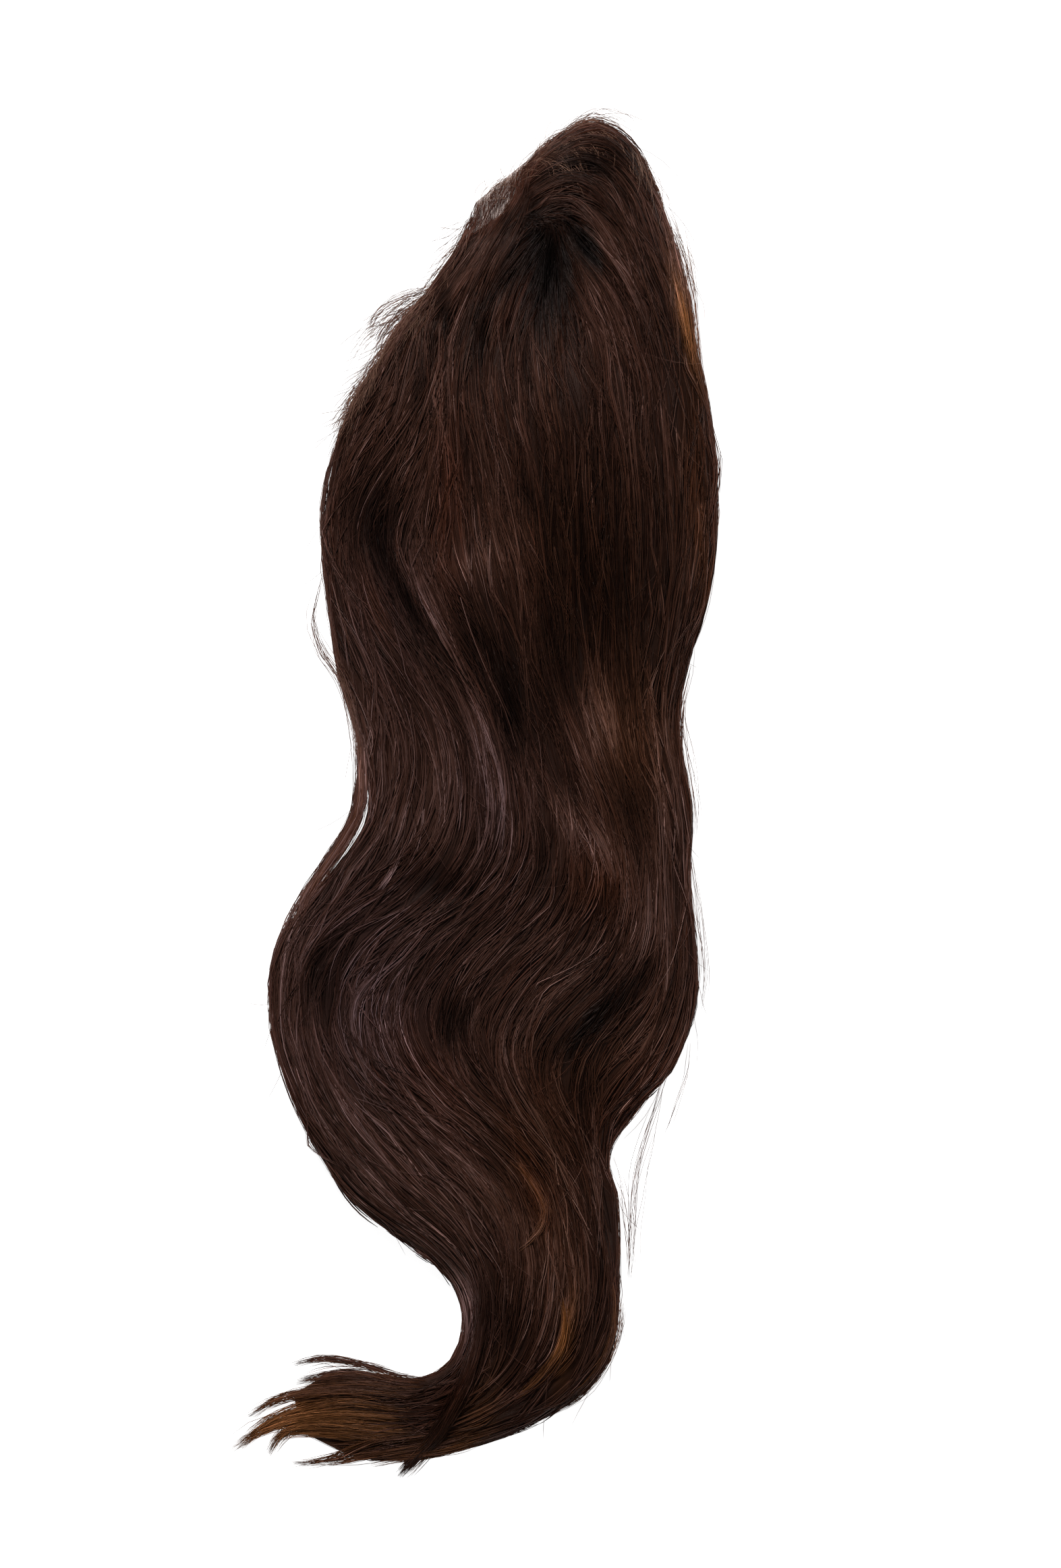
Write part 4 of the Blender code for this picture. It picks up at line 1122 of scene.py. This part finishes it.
def lay_arcs(strands, starts, headings, turns, lengths, width, tone, pale, lift=0.002):
    """Lay single loose hairs as arcs: each starts in a place, with a heading in degrees, and turns.

    Headings are counted from the right of the photo towards its top. A hair is a chain of equal strides,
    each turned further, and rises from the hair as most of a half sine wave.
    """
    count = len(starts)
    part = np.linspace(0, 1, ARC_STEPS)[None, :]
    angle = np.radians(headings[:, None] + turns[:, None] * part) + waver(part, count, ((0.06, 0.8),))
    stride = lengths[:, None] / (ARC_STEPS - 1)
    move = np.stack((np.cos(angle) * stride, np.sin(angle) * stride), axis=-1)
    move[:, 0] = 0
    spot = starts[:, None, :] + move.cumsum(axis=1)
    rise = rng.uniform(0.2, 1.2, (count, 1)) * lift * np.sin(math.pi * part * 0.85)
    dip = ARC_DIP * (1 - step_up(part, 0, 0.15))
    spine = points_over(spot, surface.read(spot) + rise - dip, LOWEST_LOOSE)
    good = within_limits(spine)
    width = width * rng.uniform(0.8, 1.3, count)
    shade = tone + rng.normal(0, 0.25, (count, 1)) * np.ones((1, ARC_STEPS))
    warmth = random_share(0.2, 0.2, count)
    # Painted light from behind: the pale share grows along the hair, away from the pile
    share = np.clip(pale * rng.uniform(0.4, 1.6, (count, 1)) * (0.5 + part), 0, 1)
    strands.add(spine[good], width[good], shade[good], warmth[good], 0.0, share[good])


def along_line(line, count, spread):
    """Random places along straight lines between photo places, spread to both sides, in pixels."""
    points = np.array(line, float).reshape(-1, 2)
    run = lengths_along(points)
    at = rng.uniform(0, run[-1], count)
    x = np.interp(at, run, points[:, 0]) + rng.normal(0, spread, count)
    y = np.interp(at, run, points[:, 1]) + rng.normal(0, spread, count)
    return from_photo(x, y)


def lay_sides(strands, count):
    """Lay strands down both sides of the hair, from the floor up to its edges.

    A strand keeps its level, as a share of the height of the side, and the side bellies out as a half
    sine wave of the level. Beside the cap the strands keep away from its mouth, under it and over it.
    """
    side = np.where(rng.uniform(0, 1, count) < 0.5, -1.0, 1.0)
    middle = rng.uniform(0.02, 0.92, count) * flow_map.length
    half = rng.uniform(0.05, 0.13, count)
    part = np.linspace(-1, 1, SIDE_STEPS)[None, :]
    down = np.clip(middle[:, None] + half[:, None] * part, 0.004, flow_map.length_at(BED_END))
    rows = flow_map.read(down)
    share = side[:, None] * np.ones((1, SIDE_STEPS))
    seam = flow_map.seam(rows, share)
    top = flow_map.crown(rows, share)
    level = rng.uniform(0.04, 1.0, (count, 1)) + waver(down, count, ((0.06, 0.15),))
    height = np.clip(level, 0.03, 1.0) * top
    near_cap = (side[:, None] < 0) & (down < flow_map.length_at(CAP_END))
    height = np.where(near_cap & (level < 0.45), seam * 0.8 * np.clip(level, 0.1, 1) * 2, height)
    height = np.where(near_cap & (level >= 0.45), np.maximum(height, seam + CAP_HEIGHT), height)
    belly = np.sin(math.pi * np.clip(height / np.maximum(top, 1e-4), 0, 1)) * 0.0012
    out = (rng.uniform(-0.0014, -0.0002, (count, 1)) + belly)[..., None]
    away = unit(rows[..., Flow.HALF] * side[:, None, None])
    spot = flow_map.place(rows, share) + away * out
    strands.add(points_over(spot, height, 0.0), SIDE_WIDTH * rng.uniform(0.7, 1.3, count),
                strand_tones(count, SIDE_STEPS), random_share(0.1, 0.2, count), 0.0, 0.03)


def lay_edge(strands, line, side, count):
    """Lay fine hairs along an edge of the hair, given as a line of photo places.

    Each hair runs along the line for its own length. It starts up to EDGE_INWARD inside the line,
    swings out as most of a half sine wave, towards a place up to EDGE_OUTWARD outside it, and comes back
    part of the way. Side is 1 where outside is on the right of the photo, followed downwards, and -1
    where it is on the left.
    """
    guide = Guide(line, EDGE_KNOTS * len(line) // 2)
    own = rng.uniform(*EDGE_LENGTHS, (count, 1))
    part = np.linspace(0, 1, EDGE_STEPS)[None, :]
    at = rng.uniform(0, 1, (count, 1)) * (guide.length - own) + own * part
    start = -EDGE_INWARD * rng.uniform(0.2, 1, (count, 1))
    gain = (EDGE_OUTWARD * rng.uniform(0, 1, (count, 1)) ** 2 - start * 0.8) * EDGE_SWING
    offset = start + gain * np.sin(math.pi * part * 0.8) + waver(at, count, ((0.0006, 0.09), (0.0003, 0.03)))
    spot = guide.place(at) + guide.across(at, 0.003) * side * offset[..., None]
    height = surface.read(spot) * rng.uniform(0.35, 1.0, (count, 1)) + 0.0006
    spine = points_over(spot, height, LOWEST_LOOSE)
    # Painted light from behind: the pale share grows as a hair goes out past the line
    share = EDGE_PALE * np.clip(0.35 + offset / 0.003, 0, 1)
    good = within_limits(spine)
    tone = strand_tones(count, EDGE_STEPS) * 0.6 + 0.15
    warmth = random_share(0.2, 0.25, count)
    widths = EDGE_WIDTH * rng.uniform(0.7, 1.3, count)
    strands.add(spine[good], widths[good], tone[good], warmth[good], 0.0, share[good])


def lay_flyaways(strands):
    """Lay single hairs over the hair, each an arc that sets out near the field's own direction."""
    left, top, right, bottom = FLYAWAY_AREA
    tries = FLYAWAY_TRIES
    seeds = from_photo(rng.uniform(left, right, tries), rng.uniform(top, bottom, tries))
    seeds = seeds[surface.inside(seeds)][:FLYAWAYS]
    way = field.read(seeds)
    heading = np.degrees(np.arctan2(way[:, 1], way[:, 0]))
    lay_arcs(strands, seeds, heading + rng.normal(0, 14, len(seeds)), rng.normal(0, 30, len(seeds)),
             rng.uniform(0.02, 0.07, len(seeds)), 0.00022, 0.6, 0.0, lift=0.0012)


def bed_grid():
    """Even grid over the hair, down to where the tips start: lengths, shares, rows of the table.

    The shares are sines of even angles, so the columns are closer at the edges.
    """
    down = np.linspace(0.0005, flow_map.length_at(BED_END), BED_ROWS)[:, None] * np.ones((1, BED_COLUMNS))
    turn = np.linspace(-math.pi / 2, math.pi / 2, BED_COLUMNS)
    share = np.sin(turn)[None, :] * np.ones((BED_ROWS, 1)) * BED_INSET
    return down, share, flow_map.read(down)


def bed_piece(name, down, share, rows, top, bottom, material, replaced):
    """A slab of hair between two heights over the grid, with the flow as its UV map."""
    spot = flow_map.place(rows, share)
    flow = flow_map.flow_of(rows, share)
    grid_top = np.concatenate((spot, top[..., None]), axis=2)
    grid_low = np.concatenate((spot, bottom[..., None]), axis=2)
    points, quads = closed_slab(grid_top, grid_low)
    uv = np.stack((flow, down), axis=-1).reshape(-1, 2)
    # Painted shade: the slab is darker than the strands, and lighter on its ridges and darker between them
    colour = hair_colour(spot, BED_PAINTED_SHADE + ridges(flow, down) * BED_RIDGE_SHADE)
    item = build_piece(name, points, quads, np.zeros((0, 3), int), np.concatenate((uv, uv)),
                       np.tile(colour.reshape(-1, 3), (2, 1)), material)
    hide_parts(*replaced)


def add_beds(material):
    """The two slabs: the hair over the cap, whose bottom is the cap's roof, and the hair under it.

    They meet at the seam where there is no cap between them. The bottom of the lower one rises towards
    its edges as the square of the share past BED_ROUND, which rounds them off.
    """
    down, share, rows = bed_grid()
    seam = flow_map.seam(rows, share)
    bottom = np.maximum(seam + CLEARANCE / 2, cap_roof(flow_map.place(rows, share)))
    top = flow_map.top(rows, share, down, flow_map.flow_of(rows, share)) - BED_SINK
    bed_piece("hair_bed", down, share, rows, np.maximum(top, bottom + BED_WALL), bottom, material,
              ("front_hair", "middle_hair", "back_hair"))
    edge = np.clip((np.abs(share) - BED_ROUND) / (1 - BED_ROUND), 0, 1) ** 2
    bottom = np.minimum(CLEARANCE + edge * BED_RISE, seam * 0.4)
    bed_piece("under_bed", down, share, rows, seam, bottom, material, ("under_hair",))


def make_group(name, inputs, outputs):
    """Start a shader node group with named sockets; return it with its input and output nodes."""
    group = bpy.data.node_groups.new(name, "ShaderNodeTree")
    for label, kind, value in inputs:
        socket = group.interface.new_socket(name=label, in_out="INPUT", socket_type=kind)
        socket.default_value = value
    for label, kind in outputs:
        group.interface.new_socket(name=label, in_out="OUTPUT", socket_type=kind)
    return group, group.nodes.new("NodeGroupInput"), group.nodes.new("NodeGroupOutput")


def math_node(tree, operation, first, second, third=None):
    """A Math node with two sockets or numbers as its inputs, and a third where it takes one."""
    node = tree.nodes.new("ShaderNodeMath")
    node.operation = operation
    for place, given in enumerate((first, second, third)):
        if isinstance(given, float):
            node.inputs[place].default_value = given
        elif given is not None:
            tree.links.new(given, node.inputs[place])
    return node.outputs[0]


def range_node(tree, value, to_low, to_high, from_low=0.0, from_high=1.0):
    """A Map Range node that turns one range of values into another."""
    node = tree.nodes.new("ShaderNodeMapRange")
    node.inputs["From Min"].default_value = from_low
    node.inputs["From Max"].default_value = from_high
    node.inputs["To Min"].default_value = to_low
    node.inputs["To Max"].default_value = to_high
    tree.links.new(value, node.inputs["Value"])
    return node.outputs["Result"]


def bump_node(tree, height, strength, distance, shader):
    """A Bump node from a height to the shader's normal."""
    node = tree.nodes.new("ShaderNodeBump")
    node.inputs["Strength"].default_value = strength
    node.inputs["Distance"].default_value = distance
    tree.links.new(height, node.inputs["Height"])
    tree.links.new(node.outputs["Normal"], shader.inputs["Normal"])


def strand_grain_group():
    """Fine grain that runs with the hair: noise on the flow map, stretched along the strands.

    The colour is multiplied by 1 plus the contrast times the noise, spread from -1 to 1. The noise is
    the height too, and gives the roughness.
    """
    group, given, result = make_group(
        "strand_grain",
        (("Color", "NodeSocketColor", (0.03, 0.02, 0.01, 1)), ("Across", "NodeSocketFloat", 90.0),
         ("Along", "NodeSocketFloat", 9.0), ("Contrast", "NodeSocketFloat", 0.5)),
        (("Color", "NodeSocketColor"), ("Height", "NodeSocketFloat"), ("Roughness", "NodeSocketFloat")))
    nodes, links = group.nodes, group.links
    place = nodes.new("ShaderNodeUVMap")
    place.uv_map = "flow"
    apart = nodes.new("ShaderNodeSeparateXYZ")
    links.new(place.outputs["UV"], apart.inputs["Vector"])
    joined = nodes.new("ShaderNodeCombineXYZ")
    for axis, stretch in (("X", "Across"), ("Y", "Along")):
        scaled = math_node(group, "MULTIPLY", apart.outputs[axis], given.outputs[stretch])
        links.new(scaled, joined.inputs[axis])
    noise = nodes.new("ShaderNodeTexNoise")
    noise.inputs["Scale"].default_value = 1.0
    noise.inputs["Detail"].default_value = 3.0
    links.new(joined.outputs[0], noise.inputs["Vector"])
    spread = range_node(group, noise.outputs["Fac"], -1.0, 1.0, 0.3, 0.7)
    shade = math_node(group, "MULTIPLY_ADD", spread, given.outputs["Contrast"], 1.0)
    tinted = nodes.new("ShaderNodeVectorMath")
    tinted.operation = "SCALE"
    links.new(given.outputs["Color"], tinted.inputs[0])
    links.new(shade, tinted.inputs["Scale"])
    links.new(tinted.outputs["Vector"], result.inputs["Color"])
    links.new(noise.outputs["Fac"], result.inputs["Height"])
    links.new(range_node(group, noise.outputs["Fac"], 0.28, 0.44), result.inputs["Roughness"])
    return group


def net_weave_group():
    """Crossed threads of a net: the larger of two fine waves in Object coordinates, with a thread mask."""
    group, given, result = make_group(
        "net_weave",
        (("Scale", "NodeSocketFloat", 700.0), ("Width", "NodeSocketFloat", 0.5)),
        (("Thread", "NodeSocketFloat"), ("Height", "NodeSocketFloat")))
    nodes, links = group.nodes, group.links
    place = nodes.new("ShaderNodeTexCoord")
    waves = []
    for direction in ("X", "Y"):
        wave = nodes.new("ShaderNodeTexWave")
        wave.bands_direction = direction
        wave.inputs["Distortion"].default_value = 0.6
        links.new(place.outputs["Object"], wave.inputs["Vector"])
        links.new(given.outputs["Scale"], wave.inputs["Scale"])
        waves.append(wave.outputs["Fac"])
    larger = math_node(group, "MAXIMUM", *waves)
    links.new(math_node(group, "GREATER_THAN", larger, given.outputs["Width"]), result.inputs["Thread"])
    links.new(larger, result.inputs["Height"])
    return group


def new_material(name):
    """A material with its Principled shader, and its tree."""
    material = bpy.data.materials.new(name)
    material.use_nodes = True
    return material, material.node_tree, material.node_tree.nodes["Principled BSDF"]


def add_group(tree, group):
    """Place a node group in a material."""
    node = tree.nodes.new("ShaderNodeGroup")
    node.node_tree = group
    return node


def hair_material(name, grain, contrast, bump):
    """Shiny hair: the point colour with grain, and a bump where the mesh has no strands of its own."""
    material, tree, shader = new_material(name)
    colour = tree.nodes.new("ShaderNodeAttribute")
    colour.attribute_name = "hair_colour"
    group = add_group(tree, grain)
    group.inputs["Contrast"].default_value = contrast
    tree.links.new(colour.outputs["Color"], group.inputs["Color"])
    tree.links.new(group.outputs["Color"], shader.inputs["Base Color"])
    tree.links.new(group.outputs["Roughness"], shader.inputs["Roughness"])
    shader.inputs["IOR"].default_value = 1.5
    shader.inputs["Specular Tint"].default_value = HAIR_SHINE
    shader.inputs["Specular IOR Level"].default_value = 0.10
    if bump:
        bump_node(tree, group.outputs["Height"], bump, 0.001, shader)
    return material


def net_material(name, weave, colour, see_through):
    """Net or lace: threads in Object coordinates, darker and see-through between them where asked."""
    material, tree, shader = new_material(name)
    group = add_group(tree, weave)
    group.inputs["Scale"].default_value = NET_SCALE
    shader.inputs["Roughness"].default_value = 0.8
    mixed = tree.nodes.new("ShaderNodeMix")
    mixed.data_type = "RGBA"
    mixed.inputs["A"].default_value = (*[c * 0.6 for c in colour], 1)
    mixed.inputs["B"].default_value = (*colour, 1)
    tree.links.new(group.outputs["Thread"], mixed.inputs["Factor"])
    tree.links.new(mixed.outputs["Result"], shader.inputs["Base Color"])
    bump_node(tree, group.outputs["Height"], 0.5, 0.0003, shader)
    if see_through:
        film = range_node(tree, group.outputs["Thread"], 1 - see_through, 1.0)
        tree.links.new(film, shader.inputs["Alpha"])
    return material


def add_floor(size=8.0):
    """A plain pale floor that the wig lies on."""
    mesh = bpy.data.meshes.new("floor")
    half = size / 2
    mesh.from_pydata([(-half, -half, 0), (half, -half, 0), (half, half, 0), (-half, half, 0)], [],
                     [(0, 1, 2, 3)])
    floor = bpy.data.objects.new("floor", mesh)
    bpy.context.scene.collection.objects.link(floor)
    material, tree, shader = new_material("pale_floor")
    shader.inputs["Base Color"].default_value = (0.50, 0.50, 0.50, 1)
    shader.inputs["Roughness"].default_value = 0.9
    shader.inputs["Specular IOR Level"].default_value = 0.1
    shader.inputs["Emission Color"].default_value = (1, 1, 1, 1)
    shader.inputs["Emission Strength"].default_value = 0.93
    mesh.materials.append(material)
    floor.location.z = -0.0003


def add_light(name, place, size, power):
    """A soft square light that points at the middle of the wig."""
    light = bpy.data.lights.new(name, "AREA")
    light.shape = "SQUARE"
    light.size = size
    light.energy = power
    item = bpy.data.objects.new(name, light)
    item.location = place
    item.rotation_euler = (-Vector(place)).to_track_quat("-Z", "Y").to_euler()
    bpy.context.scene.collection.objects.link(item)


def add_world(strength):
    """An even white sky."""
    world = bpy.data.worlds.new("studio")
    world.use_nodes = True
    world.node_tree.nodes["Background"].inputs["Color"].default_value = (1, 1, 1, 1)
    world.node_tree.nodes["Background"].inputs["Strength"].default_value = strength
    bpy.context.scene.world = world


def add_camera(distance=2.6):
    """A long lens straight above, which takes in the photo's whole frame."""
    middle = from_photo(PHOTO_WIDTH / 2, PHOTO_HEIGHT / 2)
    camera = bpy.data.cameras.new("camera")
    camera.sensor_width = 36.0
    camera.lens = camera.sensor_width * (distance - HAIR_HEIGHT / 2) / (PHOTO_HEIGHT * PIXEL)
    item = bpy.data.objects.new("camera", camera)
    item.location = (middle[0], middle[1], distance)
    bpy.context.scene.collection.objects.link(item)
    bpy.context.scene.camera = item


def add_strand_piece(name, area, dense, size, material):
    """One piece of strands: its layers of wisps, from the deepest, then its own locks."""
    strands = Strands(name)
    for wisps, per_wisp, steps, reach, depth, width, wide, lean, clear in WISP_LAYERS:
        lay_wisps(strands, area, int(wisps * dense), per_wisp, steps, (reach[0] * size, reach[1] * size),
                  depth, width, wide, lean, clear)
    if name == "crown_strands":
        for places, width, count, tone, thick in CROWN_LOCKS:
            lay_lock(strands, places, count, width, 12, thick, tone, sink=0.0014, open_ends=(True, False))
    if name == "tail_strands":
        for places, width, count, tone, gold in TAIL_POINTS:
            lift = CROSSING_LIFT * (tone < CROSSING_TONE)
            lay_lock(strands, places, count, width, 10, 0.0020, tone, gold, lift, 1.3,
                     strand_width=0.00034, pale_end=0.22, open_ends=(False, True))
        for places, width, count, tone, gold in FEATURE_LOCKS:
            lay_lock(strands, places, count, width, 11, 0.0020, tone, gold)
    strands.build(material)


def add_loose_hairs(material):
    """The hairs down the sides and along the edges, the single loose ones and the loose wisps."""
    loose = Strands("loose_hairs")
    lay_sides(loose, SIDE_HAIRS)
    for side, count, line in EDGE_LINES:
        lay_edge(loose, line, side, count)
    for line, spread, count, heading, turn, length, width, tone, pale in ARC_GROUPS:
        starts = along_line(line, count, spread)
        lay_arcs(loose, starts, rng.normal(*heading, count), rng.normal(*turn, count),
                 rng.uniform(*length, count), width, tone, pale)
    lay_flyaways(loose)
    for places, width, count, gold in LOOSE_WISPS:
        lay_lock(loose, places, count, width, 13, 0.0008, 0.3, gold, loose=1.6, open_ends=(False, True),
                 strand_width=0.00026, pale=0.30)
    loose.build(material)


flow_map = Flow()
surface = HeightMap(flow_map)
field = Field(surface)

add_camera()
add_floor()
add_world(0.06)
for name, place, size, power in LIGHTS:
    add_light(name, place, size, power)
bpy.context.scene.view_settings.view_transform = "Standard"

grain = strand_grain_group()
weave = net_weave_group()
bed_hair = hair_material("bed_hair", grain, 0.45, 0.6)
strand_hair = hair_material("strand_hair", grain, 0.15, 0.0)
nets = {"wig_cap": net_material("cap_net", weave, CAP_COLOUR, 0.0),
        "lace_front": net_material("lace_net", weave, LACE_COLOUR, 0.55)}
for node, material in nets.items():
    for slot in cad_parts[node].material_slots:
        slot.material = material

add_beds(bed_hair)
for number, (name, area, dense, size) in enumerate(STRAND_PIECES):
    rng = np.random.default_rng(PIECE_SEED + number)
    add_strand_piece(name, area, dense, size, strand_hair)
rng = np.random.default_rng(LOOSE_SEED)
add_loose_hairs(strand_hair)
